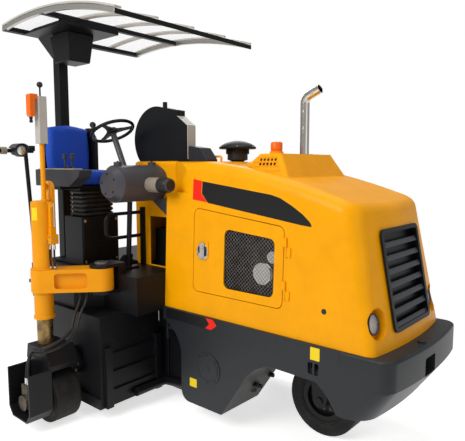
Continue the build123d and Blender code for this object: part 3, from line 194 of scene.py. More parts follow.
finishes = {
    # Sprayed enamel gives an even half-gloss colour, duller and paler where dust lies on top; on the slate
    # paint that paler top film is also a painted sheen
    "yellow_paint": sprayed_paint("gloss_yellow_enamel", "F7A600", 0.34, 0.012, "C09040", 0.15),
    "arm_paint": sprayed_paint("deep_yellow_enamel", "EE9A00", 0.42, 0.06, "8A6A3A", 0.22),
    # The slate paint's bluish grey top film is dust together with a painted sheen of the lit tops
    "slate_paint": sprayed_paint("slate_grey_enamel_with_painted_sheen", "1C1F23", 0.40, 0.10, "6A6E70", 0.3),
    "black_paint": sprayed_paint("black_enamel", "101114", 0.40, 0.05, "4E4B46", 0.2),
    "grey_paint": sprayed_paint("iron_grey_enamel", "333438", 0.42, 0.08, "6A655C", 0.3),
    "console_paint": sprayed_paint("console_grey_enamel", "45444A", 0.36, 0.06, "7A7468", 0.35),
    # The louvre grey is lighter than the grille: a painted highlight of the lit slat faces
    "louvre_highlight_paint": sprayed_paint("louvre_grey_painted_highlight", "3C4147", 0.34, 0.04, "6A665E", 0.45),
    "light_paint": sprayed_paint("light_grey_enamel", "B9B5AC", 0.42, 0.05, coat=0.2),
    # Chrome and zinc give bright reflections, iron and worn steel dull ones, all browned where grease sticks
    "chrome": bare_metal("hard_chrome", "D6D2CA", 0.12, 0.15, "8A6F55"),
    "oiled_chrome": bare_metal("oiled_hard_chrome", "A98A58", 0.22, 0.75, "4A3620"),
    "steel": bare_metal("worn_steel", "8D8B88", 0.38, 0.5, "5E4A3A"),
    "zinc": bare_metal("zinc_plated_steel", "C9C8C2", 0.28, 0.25, "7E786C"),
    "cast_iron": bare_metal("cast_iron_grey", "3C3B3A", 0.55, 0.6, "241F1B"),
    "dusty_iron": bare_metal("dusty_cast_iron", "5A554D", 0.6, 0.9, "6E6252"),
    "aluminium": bare_metal("anodised_aluminium", "C9C6BE", 0.35, 0.0, "8A8C8E"),
    # Rubber, cloth and textured plastic are dull, and their grain breaks up the highlights
    "tyre": moulded("solid_tyre_rubber", "0E0E0F", 0.70, 1.2, 0.25, 0.06),
    "rubber": moulded("hose_rubber", "101011", 0.50, 0.8, 0.15, 0.10),
    "plastic": moulded("textured_black_plastic", "1A1B1D", 0.48, 1.0, 0.2, 0.06),
    "tan_plastic": moulded("tan_moulded_plastic", "8C8172", 0.42, 1.0, 0.15, 0.2),
    "blue_vinyl": moulded("blue_seat_cloth", "1647B4", 0.62, 1.0, 0.3),
    # Lens plastic and vinyl film are smooth, with one strong flat colour and a slight sheen
    "orange_plastic": moulded("orange_lens_plastic", "F06A0C", 0.22),
    "red_film": moulded("red_vinyl_film", "F0230F", 0.35),
    "black_film": moulded("black_vinyl_film", "141416", 0.32),
    "yellow_film": moulded("yellow_vinyl_film", "F2D21A", 0.40),
    # Glass and clear sheet let what is behind show through a glossy skin
    "glass": clear("lamp_glass", "E8EEF0", 0.05, 1.5, 0.35),
    "clear_sheet": clear("clear_roof_sheet", "F2F4F4", 0.20, 1.49, 0.07),
}

slots = {part["node"]: part["material_slot"] for part in frame["record"]["subparts"]}


# What the pieces share

def placed(name, data):
    """A new object, put in the scene."""
    thing = bpy.data.objects.new(name, data)
    bpy.context.scene.collection.objects.link(thing)
    return thing


def settled(thing):
    """A plain mesh of an object with its modifiers applied."""
    return bpy.data.meshes.new_from_object(thing.evaluated_get(bpy.context.evaluated_depsgraph_get()))


def smooth(shape, angle):
    """Smooths a shape's faces, but not across the edges that turn by more than an angle."""
    for face in shape.faces:
        face.smooth = True
    for edge in shape.edges:
        edge.smooth = not (len(edge.link_faces) == 2 and edge.calc_face_angle(0) > math.radians(angle))


def break_edges(piece, width, angle):
    """Breaks a piece's sharp edges by a width in millimetres, and keeps its flat faces flat."""
    bevel = piece.modifiers.new("broken_edges", "BEVEL")
    bevel.width = width * MM
    bevel.segments = 2
    bevel.limit_method = "ANGLE"
    bevel.angle_limit = math.radians(angle)
    weight = piece.modifiers.new("flat_faces_stay_flat", "WEIGHTED_NORMAL")
    weight.keep_sharp = True
    return bevel


# Pieces that follow the CAD solids, with their edges broken

SAME_POINT = 2e-5
FLAT_ANGLE = 0.6
EDGE_WIDTH = 1.5


def dress(node, width=EDGE_WIDTH, angle=32, finish=None):
    """A piece in the place of a CAD solid: its own faces, merged, with its sharp edges broken."""
    source = nodes[node]
    mesh = source.data.copy()
    mesh.name = node + "_shape"
    shape = bmesh.new()
    shape.from_mesh(mesh)
    bmesh.ops.remove_doubles(shape, verts=shape.verts, dist=SAME_POINT)
    bmesh.ops.dissolve_limit(shape, angle_limit=math.radians(FLAT_ANGLE), verts=shape.verts,
                             edges=shape.edges)
    smooth(shape, angle)
    shape.to_mesh(mesh)
    shape.free()
    mesh.materials.clear()
    mesh.materials.append(finishes[finish or slots[node]])
    piece = placed(node + "_dressed", mesh)
    break_edges(piece, width, angle).miter_outer = "MITER_ARC"
    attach(piece, source["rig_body"])
    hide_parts(node)
    return piece


EDGE_WIDTHS = {"hood": 2.0, "counterweight": 4.0, "main_frame": 2.5, "rear_housing": 2.0}
REMADE = {"seat", "seat_bellows", "tyre_right", "tyre_left", "front_tyre", "hoses_right", "hoses_left",
          "precleaner", "door_mesh_right", "door_mesh_left", "column_right", "headlamp_lenses", "beacon",
          "depth_gauge", "canopy_frame"}
OTHER_FINISH = {"console": "console_paint", "cowl": "slate_paint", "canopy_ribs": "light_paint"}
for finish, names in (("oiled_chrome", ("leg_rod_right", "leg_rod_left")),
                      ("dusty_iron", ("motor_right", "motor_left")),
                      ("black_paint", ("canopy_post", "grille", "hub_right", "hub_left", "front_hub",
                                       "drum_housing", "yoke_right", "yoke_left", "front_fork"))):
    for name in names:
        OTHER_FINISH[name] = finish
for name in nodes:
    if name not in REMADE:
        dress(name, EDGE_WIDTHS.get(name, EDGE_WIDTH), finish=OTHER_FINISH.get(name))


# The canopy's side rails are bright, its cross bars black

RAIL_RIGHT, RAIL_LEFT = -0.6099, 0.6889
rails = dress("canopy_frame")
rails.data.materials.append(finishes["aluminium"])
for face in rails.data.polygons:
    face.material_index = int(not RAIL_RIGHT <= face.center.y <= RAIL_LEFT)


# The inside walls of the wheel arch behind the belt box get the black rubber finish: painted shade in the
# recess

ARCH_SHADE_X, ARCH_SHADE_Z = (0.06, 0.55), (0.1, 0.52)
arch = bpy.data.objects["main_frame_dressed"].data
arch.materials.append(finishes["rubber"])
for face in arch.polygons:
    in_arch_shade = ARCH_SHADE_X[0] < face.center.x < ARCH_SHADE_X[1] and ARCH_SHADE_Z[0] < face.center.z < ARCH_SHADE_Z[1]
    if in_arch_shade and abs(face.normal.y) < 0.5:
        face.material_index = 1


# Shapes built in millimetres, each placed where it stands on the machine

MIDDLE_Y = 470.0
FRAME_TOP = 820
FLANK_Y = -45
FLANK_LEAN = 0.04
NOSE_FOOT = Vector((1440, MIDDLE_Y, FRAME_TOP))
NOSE_UP = Vector((-0.1885, 0, 0.982))
NOSE_OUT = Vector((0.982, 0, 0.1885))
UP = (0, 0, 1)
FORWARDS = (1, 0, 0)
TO_RIGHT = (0, -1, 0)
TO_LEFT = (0, 1, 0)


def prism(shape, outline, run):
    """A closed prism: an outline of points in space pushed along a vector."""
    near = [shape.verts.new(Vector(point)) for point in outline]
    far = [shape.verts.new(Vector(point) + Vector(run)) for point in outline]
    shape.faces.new(near)
    shape.faces.new(far[::-1])
    for i, corner in enumerate(near):
        shape.faces.new((near[i - 1], far[i - 1], far[i], corner))


def brick(shape, low, high):
    """A straight block between two corners."""
    (x0, y0, z0), (x1, y1, z1) = low, high
    prism(shape, ((x0, y0, z0), (x1, y0, z0), (x1, y1, z0), (x0, y1, z0)), (0, 0, z1 - z0))


def skin(shape, rows):
    """Faces between each row of points and the next."""
    for low, high in zip(rows, rows[1:]):
        for i in range(len(low)):
            shape.faces.new((low[i - 1], low[i], high[i], high[i - 1]))


def circle_of(middle, axis, radius, count, start=0.0):
    """Evenly spaced points on a circle about an axis."""
    axis = Vector(axis).normalized()
    side = axis.orthogonal().normalized()
    other = axis.cross(side)
    angles = [start + 2 * math.pi * i / count for i in range(count)]
    return [Vector(middle) + (side * math.cos(a) + other * math.sin(a)) * radius for a in angles]


def turned(shape, foot, axis, profile, steps, ring=False):
    """A turned shape, from pairs of radius and distance along the axis; a ring is open in the middle."""
    rows = []
    for radius, along in profile:
        middle = Vector(foot) + Vector(axis).normalized() * along
        points = circle_of(middle, axis, radius, steps) if radius else [middle]
        rows.append([shape.verts.new(point) for point in points])
    if ring:
        rows.append(rows[0])
    for low, high in zip(rows, rows[1:]):
        for i in range(steps):
            if len(low) == 1:
                shape.faces.new((low[0], high[i], high[i - 1]))
            elif len(high) == 1:
                shape.faces.new((low[i - 1], low[i], high[0]))
            else:
                shape.faces.new((low[i - 1], low[i], high[i], high[i - 1]))
    for row in (rows[0], rows[-1]):
        if len(row) > 1 and not ring:
            shape.faces.new(row)


def rounded(width, height, radius, steps=6, middle=(0, 0)):
    """Points round the corners of a rounded rectangle, as pairs."""
    points = []
    for quarter, (x, y) in enumerate(((1, 1), (-1, 1), (-1, -1), (1, -1))):
        for i in range(steps + 1):
            angle = math.pi / 2 * (quarter + i / steps)
            points.append((middle[0] + (x * (width / 2 - radius) + radius * math.cos(angle)),
                           middle[1] + (y * (height / 2 - radius) + radius * math.sin(angle))))
    return points


def flank(x, z, out=0.0):
    """A point on the hood's leaning right flank, or so far out from it."""
    return Vector((x, FLANK_Y + FLANK_LEAN * (z - FRAME_TOP) - out, z + FLANK_LEAN * out))


def on_flank(way, x, z, out=0.0):
    """A point on the hood's right flank, or its twin on the left one where way is -1."""
    point = flank(x, z, out)
    return point if way > 0 else Vector((point.x, 2 * MIDDLE_Y - point.y, point.z))


def nose(across, up, out=0.0):
    """A point on the hood's leaning nose, from its middle and its foot, or so far out from it."""
    return NOSE_FOOT + Vector(TO_LEFT) * across + NOSE_UP * up + NOSE_OUT * out


def mesh_of(name, shape, finish):
    """A mesh of a shape, with a finish."""
    mesh = bpy.data.meshes.new(name)
    shape.to_mesh(mesh)
    shape.free()
    mesh.materials.append(finishes[finish])
    return mesh


def made(name, shape, body, finish, edge=1.0, angle=35, mirrored=False, replaced=()):
    """Finishes a shape in millimetres as a piece on a body, in pairs where it is also on the other flank."""
    if mirrored:
        twin = bmesh.ops.duplicate(shape, geom=shape.verts[:] + shape.edges[:] + shape.faces[:])
        for vertex in [part for part in twin["geom"] if isinstance(part, bmesh.types.BMVert)]:
            vertex.co.y = 2 * MIDDLE_Y - vertex.co.y
    bmesh.ops.scale(shape, vec=(MM, MM, MM), verts=shape.verts)
    bmesh.ops.recalc_face_normals(shape, faces=shape.faces)
    smooth(shape, angle)
    piece = placed(name, mesh_of(name, shape, finish))
    if edge:
        break_edges(piece, edge, angle)
    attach(piece, body)
    if replaced:
        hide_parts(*replaced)
    return piece


def pushed(name, body, finish, outline, run, edge=0, **how):
    """A piece that is one outline pushed along a vector."""
    shape = bmesh.new()
    prism(shape, outline, run)
    return made(name, shape, body, finish, edge, **how)


def lathe(name, body, finish, *turns, edge=0, **how):
    """A piece of turned shapes, each with its foot, axis, profile, steps and whether it is a ring."""
    shape = bmesh.new()
    for turn in turns:
        turned(shape, *turn)
    return made(name, shape, body, finish, edge, **how)


# Repeated fasteners and meshes, by Geometry Nodes

def geometry_group(name, *numbers):
    """A node group that takes points, some numbers and a finish, and what it is given."""
    tree = bpy.data.node_groups.new(name, "GeometryNodeTree")
    tree.interface.new_socket("Geometry", in_out="INPUT", socket_type="NodeSocketGeometry")
    for number in numbers:
        tree.interface.new_socket(number, in_out="INPUT", socket_type="NodeSocketFloat")
    tree.interface.new_socket("Finish", in_out="INPUT", socket_type="NodeSocketMaterial")
    tree.interface.new_socket("Geometry", in_out="OUTPUT", socket_type="NodeSocketGeometry")
    return tree, put(tree, "NodeGroupInput").outputs


def end_group(tree, given, geometry):
    """Ends a node group: its copies made real and painted with its finish."""
    real = put(tree, "GeometryNodeRealizeInstances", {"Geometry": geometry})
    painted = put(tree, "GeometryNodeSetMaterial", {"Geometry": real.outputs["Geometry"],
                                                    "Material": given["Finish"]})
    put(tree, "NodeGroupOutput", {"Geometry": painted.outputs["Geometry"]})
    return tree


# Sides of each layer of a bolt, then its radius and height as shares of the bolt's size
WASHER = (20, 0.95, 0.16)
HEAD = (6, 0.62, 0.9)
STRAND_RADIUS = 1.5


def bolt_tree():
    """Hexagon heads on washers, one on each point, along the point's own direction."""
    tree, given = geometry_group("hexagon_bolts", "Size")
    bolt = put(tree, "GeometryNodeJoinGeometry")
    for sides, radius_share, height_share in (WASHER, HEAD):
        radius = maths(tree, "MULTIPLY", given["Size"], radius_share)
        height = maths(tree, "MULTIPLY", given["Size"], height_share)
        layer = put(tree, "GeometryNodeMeshCylinder", {"Vertices": sides, "Radius": radius, "Depth": height})
        tree.links.new(layer.outputs["Mesh"], bolt.inputs[0])
    way = put(tree, "GeometryNodeInputNamedAttribute", {"Name": "way"}, data_type="FLOAT_VECTOR")
    turn = put(tree, "FunctionNodeAlignRotationToVector", {"Vector": way.outputs["Attribute"]}, axis="Z")
    all_bolts = put(tree, "GeometryNodeInstanceOnPoints", {"Points": given["Geometry"],
                                                           "Instance": bolt.outputs["Geometry"],
                                                           "Rotation": turn.outputs["Rotation"]})
    return end_group(tree, given, all_bolts.outputs["Instances"])


def lattice_tree():
    """Expanded metal: a diamond lattice of thin strands, cut to a rectangle."""
    tree, given = geometry_group("expanded_metal", "Size", "Width", "Height")
    reach = maths(tree, "ADD", given["Width"], given["Height"])
    count = maths(tree, "DIVIDE", reach, given["Size"])
    grid = put(tree, "GeometryNodeMeshGrid", {"Size X": reach, "Size Y": reach,
                                              "Vertices X": count, "Vertices Y": count})
    diagonal = put(tree, "GeometryNodeTransform", {"Geometry": grid.outputs["Mesh"],
                                                   "Rotation": (0, 0, math.pi / 4)})
    place = put(tree, "ShaderNodeSeparateXYZ", {"Vector": put(tree, "GeometryNodeInputPosition").outputs[0]})
    beyond = {}
    for i, (axis, extent) in enumerate((("X", "Width"), ("Y", "Height"))):
        beyond[i] = maths(tree, "GREATER_THAN", maths(tree, "ABSOLUTE", place.outputs[axis]),
                          maths(tree, "MULTIPLY", given[extent], 0.5))
    outside = put(tree, "FunctionNodeBooleanMath", beyond, operation="OR")
    kept = put(tree, "GeometryNodeDeleteGeometry", {"Geometry": diagonal.outputs["Geometry"],
                                                    "Selection": outside.outputs[0]})
    lines = put(tree, "GeometryNodeMeshToCurve", {"Mesh": kept.outputs["Geometry"]})
    strand = put(tree, "GeometryNodeCurvePrimitiveCircle", {"Resolution": 4, "Radius": STRAND_RADIUS * MM})
    wires = put(tree, "GeometryNodeCurveToMesh", {"Curve": lines.outputs["Curve"],
                                                  "Profile Curve": strand.outputs["Curve"]})
    return end_group(tree, given, wires.outputs["Mesh"])


def grown(name, tree, points, ways, values, finish, body, place=None):
    """Runs a node tree on points in millimetres, bakes it to a plain mesh and puts it on its body."""
    mesh = bpy.data.meshes.new(name)
    mesh.from_pydata([Vector(point) * MM for point in points], [], [])
    if ways:
        attribute = mesh.attributes.new("way", "FLOAT_VECTOR", "POINT")
        for item, way in zip(attribute.data, ways):
            item.vector = Vector(way)
    holder = placed(name, mesh)
    modifier = holder.modifiers.new("grow", "NODES")
    modifier.node_group = tree
    for item in tree.interface.items_tree:
        if item.in_out == "INPUT" and item.name in values:
            modifier[item.identifier] = values[item.name] * MM
        elif item.in_out == "INPUT" and item.name == "Finish":
            modifier[item.identifier] = finishes[finish]
    baked = settled(holder)
    holder.modifiers.clear()
    holder.data = baked
    if place:
        baked.transform(place)
    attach(holder, body)


BOLTS = bolt_tree()
LATTICE = lattice_tree()


def bolt_row(name, points, way, size, body="chassis", finish="zinc"):
    """Bolts at points, all along one direction."""
    grown(name, BOLTS, points, [way] * len(points), {"Size": size}, finish, body)


# Film stripes and plain labels: thin sheets that follow the flank and the side plate

FILM = 1.0
FILM_GAP = 0.3
SIDE_Y = -65.2
LOBE_Y = -61.2
LABEL_CORNER = 5
SWOOSH_END = ((-46, 1805), (40, 1789), (34, 1700), (97, 1640), (-50, 1654))
SWOOSH = ((45, 1788), (653, 1714), (727, 1695), (817, 1651), (896, 1604), (952, 1558), (964, 1540),
          (963, 1530), (897, 1535), (103, 1636), (40, 1700))
for name, outline, finish in (("hood_stripe_end", SWOOSH_END, "red_film"),
                              ("hood_stripe", SWOOSH, "black_film")):
    pushed(name, "chassis", finish, [flank(x, z, FILM_GAP) for x, z in outline], (0, -FILM, 0),
           mirrored=True)

PLATE_STRIPE = ((-292, 737), (-292, 813), (112, 813), (150, 776), (112, 737))
PLATE_STRIPE_END = ((124, 813), (192, 813), (228, 776), (176, 737), (120, 737), (158, 776))
for name, outline, finish in (("side_stripe", PLATE_STRIPE, "black_film"),
                              ("side_stripe_end", PLATE_STRIPE_END, "red_film")):
    pushed(name, "chassis", finish, [(x, SIDE_Y, z) for x, z in outline], (0, -FILM, 0), mirrored=True)

LABELS = (("lobe_label", (-47, 25), LOBE_Y, (262, 326)), ("bumper_label", (1000, 1066), SIDE_Y, (726, 806)))
for label, (x0, x1), y, (z0, z1) in LABELS:
    corners = rounded(x1 - x0, z1 - z0, LABEL_CORNER, middle=((x0 + x1) / 2, (z0 + z1) / 2))
    pushed(label, "chassis", "yellow_film", [(x, y, z) for x, z in corners], (0, -FILM, 0), mirrored=True)


# Door latch: a zinc hexagon plate with a dark well, a paddle and a lock

LATCH_PLATE = ((4, 1284), (34, 1342), (96, 1336), (124, 1284), (94, 1226), (32, 1231))
LATCH_WELL = rounded(84, 70, 16, middle=(66, 1288))
LATCH_PADDLE = rounded(42, 106, 20, middle=(70, 1300))
LATCH_PARTS = (("plate", LATCH_PLATE, 6, 5, "zinc", 2.0), ("well", LATCH_WELL, 11, 2, "plastic", 0.6),
               ("paddle", LATCH_PADDLE, 10, 12, "zinc", 1.5))
for door, way in (("door_right", 1), ("door_left", -1)):
    outward = Vector((0, -way, FLANK_LEAN)).normalized()
    for part, outline, out, thick, finish, edge in LATCH_PARTS:
        pushed(f"latch_{part}_{door}", door, finish, [on_flank(way, x, z, out) for x, z in outline],
               outward * thick, edge=edge)
    lathe("latch_lock_" + door, door, "zinc",
          (on_flank(way, 34, 1262, 10), outward, ((0, 0), (13, 0), (13, 6), (8, 8), (0, 8)), 32), edge=0.5)


# Expanded metal in the door windows, behind the door skin, and its rubber rim

WINDOW_MIDDLE = (479.5, 1256.0)
WINDOW_DEPTH = -13.5
RIM_FRONT, RIM_BACK = -10.2, -15.5
MESH_SIZES = {"Size": 19.0, "Width": 456.0, "Height": 440.0}
for door, way in (("right", 1), ("left", -1)):
    tilt = Matrix(((1, 0, 0), (0, FLANK_LEAN * way, -1), (0, 1, FLANK_LEAN))).to_4x4()
    place = Matrix.Translation(on_flank(way, *WINDOW_MIDDLE, WINDOW_DEPTH) * MM)
    grown("window_mesh_" + door, LATTICE, [(0, 0, 0)], None, MESH_SIZES, "steel", "door_" + door,
          place @ tilt)
    inner = rounded(452, 436, 60, middle=WINDOW_MIDDLE)
    outer = rounded(470, 454, 66, middle=WINDOW_MIDDLE)
    shape = bmesh.new()
    rows = []
    for points, out in ((outer, RIM_FRONT), (outer, RIM_BACK), (inner, RIM_BACK), (inner, RIM_FRONT)):
        rows.append([shape.verts.new(on_flank(way, x, z, out)) for x, z in points])
    skin(shape, rows + rows[:1])
    made("window_rim_" + door, shape, "door_" + door, "plastic", 0, replaced=("door_mesh_" + door,))


# Solid tyres on their rims, turned with a rounded shoulder and a bead line

def tyre(name, node, body, middle, radius, width, bore, shoulder):
    """A solid rubber tyre, bonded on a rim ring."""
    half_width = width / 2
    corner = [(radius - shoulder + shoulder * math.cos(a), half_width - shoulder + shoulder * math.sin(a))
              for a in [math.pi / 2 * i / 8 for i in range(9)]]
    face = [(radius - shoulder - 22, half_width), (radius - shoulder - 30, half_width - 4),
            (bore + 16, half_width - 4), (bore + 14, half_width - 7), (bore + 0.5, half_width - 7)]
    side = corner + face
    profile = side + [(r, -along) for r, along in reversed(side)]
    lathe(name, body, "tyre", (middle, TO_LEFT, profile, 96, True), angle=40, replaced=(node,))


REAR_RADIUS, FRONT_RADIUS = 200, 265
REAR_X, FRONT_X = -840, 829
for side_name, y in (("right", -700), ("left", 870)):
    tyre("solid_tyre_" + side_name, "tyre_" + side_name, side_name + "_wheel", (REAR_X, y, REAR_RADIUS),
         REAR_RADIUS, 200, 130, 16)
tyre("solid_tyre_front", "front_tyre", "front_wheel", (FRONT_X, MIDDLE_Y, FRONT_RADIUS),
     FRONT_RADIUS, 190, 165, 18)
for body, y in (("right_wheel", -648), ("left_wheel", 922)):
    bolt_row("wheel_nuts_" + body, circle_of((REAR_X, y, REAR_RADIUS), TO_LEFT, 75, 8), TO_LEFT, 18, body)
for side_name, y, way in (("right", 429, TO_RIGHT), ("left", 511, TO_LEFT)):
    bolt_row("front_nuts_" + side_name, circle_of((FRONT_X, y, FRONT_RADIUS), TO_LEFT, 90, 10), way, 16,
             "front_wheel", "dusty_iron")


# Air pre-cleaner: a ribbed body under a domed cap with a rolled rim

CLEANER = (-30, 470)
RIB_FOOT = Vector((*CLEANER, 1990))
RIBS, RIB_RADIUS, RIB_HALF, RIB_HEIGHT = 28, 86, 3.2, 38
shape = bmesh.new()
turned(shape, (*CLEANER, 1900), UP,
       ((50, 0), (50, 34), (66, 40), (80, 44), (80, 130), (50, 130), (50, 131)), 72)
for point in circle_of(RIB_FOOT, UP, RIB_RADIUS, RIBS):
    out = (point - RIB_FOOT).normalized()
    across = Vector((-out.y, out.x, 0)) * RIB_HALF
    prism(shape, [point + across - out * 10, point - across - out * 10, point - across + out * 6,
                  point + across + out * 6], (0, 0, RIB_HEIGHT))
made("cleaner_body", shape, "chassis", "plastic", 0.6, replaced=("precleaner",))
lathe("cleaner_cap", "chassis", "black_paint",
      ((*CLEANER, 2028), UP, ((40, 2), (120, 2), (138, 0), (145, 3), (148, 9), (146, 15), (140, 20),
                              (125, 32), (104, 44), (78, 54), (50, 61), (24, 65), (0, 66)), 96), angle=50)
bolt_row("cleaner_screws", circle_of((*CLEANER, 2046), UP, 137, 6, 0.4), UP, 9)


# Flashing beacon with a ribbed lens, and a black ring where the exhaust leaves the hood: painted shade in
# the gap

lathe("beacon_lens", "chassis", "orange_plastic",
      ((500, 260, 1996), UP, ((0, 0), (42, 0), (42, 4), (39, 6), (39, 12), (41, 14), (41, 56), (38, 62),
                              (30, 67), (0, 70)), 48), angle=40, replaced=("beacon",))
# A black film ring round the exhaust: painted shade of the gap in the hood
lathe("exhaust_gap_shade", "chassis", "black_film",
      ((540, 550, 1976), UP, ((34, 0), (62, 0), (62, 6), (34, 6)), 48, True))


# Perforations in rows on the intake box's right face, each a thin darker yellow patch: painted shade in the
# holes

# Height of each row and its number of perforations
LOUVRE_ROWS = ((1868, 10), (1896, 9), (1924, 8), (1952, 7))
PERFORATION = rounded(26, 11, 5, 3)
PERFORATION_OUT, PERFORATION_THICK = 1.5, 1.2
# The face leans in and narrows upwards: each edge at the foot, and how far it moves up to the top
INTAKE_FOOT, INTAKE_RISE = 1800, 180
FACE_Y, FACE_REAR, FACE_FRONT = (75, 65), (233, 207), (730, -110)
FACE_LEAN = 0.36
REAR_MARGIN, FRONT_MARGIN = 26, 40
shape = bmesh.new()
for z, count in LOUVRE_ROWS:
    rise = (z - INTAKE_FOOT) / INTAKE_RISE
    y, rear, front = (foot + move * rise for foot, move in (FACE_Y, FACE_REAR, FACE_FRONT))
    x0, x1 = rear + REAR_MARGIN, front - FRONT_MARGIN
    for i in range(count):
        x = x0 + (x1 - x0) * (i + 0.5) / count
        # Each patch stands proud of the face in a darker yellow: painted shade of a perforation
        prism(shape, [(x + u, y - PERFORATION_OUT + FACE_LEAN * v, z + v) for u, v in PERFORATION],
              (0, -PERFORATION_THICK, 0))
made("intake_perforation_shade", shape, "chassis", "arm_paint", 0)


# Dome cover's bright front strip

DOME_STRIP = ((-338, 2278), (-229, 2203), (-228, 1950), (-224, 1950), (-224, 2206), (-336, 2282))
pushed("dome_front_strip", "chassis", "light_paint", [(x, 112, z) for x, z in DOME_STRIP], (0, 86, 0),
       edge=0.8)


# Headlamps: a grey bowl and a domed lens deep in each oblong cup

LAMP_ACROSS, LAMP_UP, LAMP_DEPTH = 412, 180, -100
BOWL = ((20, 0), (50, 10), (60, 22), (64, 24), (64, 44), (60, 46), (56, 40), (46, 12), (20, 4))
LENS = ((0, 30), (57, 30), (57, 38), (40, 43), (20, 46), (0, 47))
for side_name, across in (("right", -LAMP_ACROSS), ("left", LAMP_ACROSS)):
    middle = nose(across, LAMP_UP, LAMP_DEPTH)
    lathe("lamp_bowl_" + side_name, "chassis", "console_paint", (middle, NOSE_OUT, BOWL, 48, True))
    piece = lathe("lamp_lens_" + side_name, "chassis", "glass", (middle, NOSE_OUT, LENS, 48), angle=50)
    if side_name == "right":
        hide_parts("headlamp_lenses")


# Right column: tube, arch-topped lifting eye, hose bracket and a label

COLUMN = (-905, -730)
TUBE = ((58, 0), (76, 0), (76, 20), (70, 23), (70, 862), (66, 870), (58, 874))
lathe("column_tube", "right_arm", "arm_paint",
      ((*COLUMN, 770), UP, TUBE, 72, True),
      ((*COLUMN, 1630), UP, ((0, 0), (62, 0), (62, 13), (0, 14)), 48),
      ((*COLUMN, 1143), UP, ((69, 0), (84, 0), (84, 6), (78, 9), (69, 9)), 64, True),
      ((*COLUMN, 962), UP, ((69, 0), (80, 0), (84, 9), (69, 9)), 64, True),
      edge=0.8, replaced=("column_right",))

EYE = (-915, 1740)
EYE_BORE = 27
EYE_Y, EYE_THICK = -672, 28
outline = [(-970, 1430), (-850, 1430), (-850, 1700)]
outline += [(-910 + 60 * math.cos(a), 1726 + 62 * math.sin(a))
            for a in [math.pi * i / 20 for i in range(21)]]
outline.append((-970, 1700))
turns = [2 * math.pi * i / 40 for i in range(40)]
hole = [(EYE[0] + EYE_BORE * math.cos(a), EYE[1] + EYE_BORE * math.sin(a)) for a in turns]
shape = bmesh.new()
loops = []
for points in (outline, hole):
    around = [shape.verts.new((x, EYE_Y, z)) for x, z in points]
    loops += [shape.edges.new((around[i - 1], around[i])) for i in range(len(around))]
bmesh.ops.triangle_fill(shape, edges=loops, use_beauty=True, use_dissolve=False)
grown_side = bmesh.ops.extrude_face_region(shape, geom=shape.faces[:])
bmesh.ops.translate(shape, verts=[v for v in grown_side["geom"] if isinstance(v, bmesh.types.BMVert)],
                    vec=(0, EYE_THICK, 0))
made("lifting_eye_right", shape, "right_arm", "arm_paint", 1.5)

shape = bmesh.new()
brick(shape, (-846, -724, 1330), (-788, -662, 1400))
brick(shape, (-838, -716, 1400), (-800, -672, 1450))
prism(shape, [(x, -712, z) for x, z in ((-842, 1450), (-806, 1450), (-806, 1600), (-842, 1640))],
      (0, 34, 0))
made("hose_bracket", shape, "right_arm", "arm_paint", 1.5)
bolt_row("bracket_bolts", [(-830, -725, 1348), (-804, -725, 1384), (-787, -693, 1366)], TO_RIGHT, 11,
         "right_arm")
lathe("bracket_pipe", "right_arm", "zinc",
      ((-794, -690, 1454), UP, ((0, 0), (5, 0), (5, 176), (0, 176)), 16))

LABEL_FOOT, LABEL_HEIGHT = 1506, 92
label_edge = [math.radians(-88 + 38 * i / 10) for i in range(11)]
inner, outer = ([(COLUMN[0] + radius * math.cos(a), COLUMN[1] + radius * math.sin(a), LABEL_FOOT)
                 for a in label_edge] for radius in (70.3, 71.3))
pushed("column_label", "right_arm", "yellow_film", inner + outer[::-1], (0, 0, LABEL_HEIGHT))


# Depth gauge: yellow rod, light square case, ball grip and an orange strap hook

GAUGE = (-868, -722)
CASE_WIDTH, CASE_FOOT, CASE_HEIGHT = 66, 2056, 334
BALL_RADIUS = 21
HOOK_Y = GAUGE[1] - CASE_WIDTH / 2
lathe("gauge_rod", "right_arm", "arm_paint",
      ((*GAUGE, 1640), UP, ((0, 0), (24, 0), (24, 14), (17, 18), (17, 416), (0, 416)), 32),
      edge=0.5, replaced=("depth_gauge",))
pushed("gauge_case", "right_arm", "light_paint",
       [(x, y, CASE_FOOT) for x, y in rounded(CASE_WIDTH, CASE_WIDTH, 7, 4, GAUGE)],
       (0, 0, CASE_HEIGHT), edge=1.5)
ball = tuple((BALL_RADIUS * math.sin(a), 84 - BALL_RADIUS * math.cos(a))
             for a in [math.radians(20 + 16 * i) for i in range(10)])
lathe("gauge_ball", "right_arm", "plastic",
      ((*GAUGE, 2388), UP, ((0, 0), (6, 0), (6, 66)) + ball + ((0, 105),), 32), angle=50)
STRAP = ((0, 2402), (-52, 2402), (-62, 2392), (-62, 2256), (-52, 2242), (-32, 2242), (-22, 2256),
         (-22, 2366), (0, 2366))
pushed("gauge_hook", "right_arm", "orange_plastic", [(GAUGE[0] - 27, HOOK_Y + y, z) for y, z in STRAP],
       (54, 0, 0), edge=3.0)
HOOK_TIP = ((0, 0), (10, 2), (12, 8), (12, 18), (8, 22), (12, 26), (12, 46), (0, 46))
lathe("gauge_hook_tip", "right_arm", "plastic", ((GAUGE[0], HOOK_Y - 42, 2200), UP, HOOK_TIP, 24))


# Bolts on the drum housing, the belt box covers and the seat base

for part, x, z, radius, ys, size, finish in (("cover", 135, 437, 104, (-62, 1002), 13, "black_paint"),
                                             ("bearing", -850, 400, 88, (-556, 61), 16, "zinc")):
    for side_name, y, way in zip(("right", "left"), ys, (TO_RIGHT, TO_LEFT)):
        bolt_row(f"{part}_bolts_{side_name}", circle_of((x, y, z), TO_LEFT, radius, 8), way, size,
                 finish=finish)
bolt_row("housing_bolts", [(-496, y, 590) for y in (-470, -370, -270, -170, -70)], FORWARDS, 13,
         finish="black_paint")
bolt_row("seat_base_bolts", [(-929, y, z) for y in (-340, -40) for z in (1130, 1460)], FORWARDS, 13)
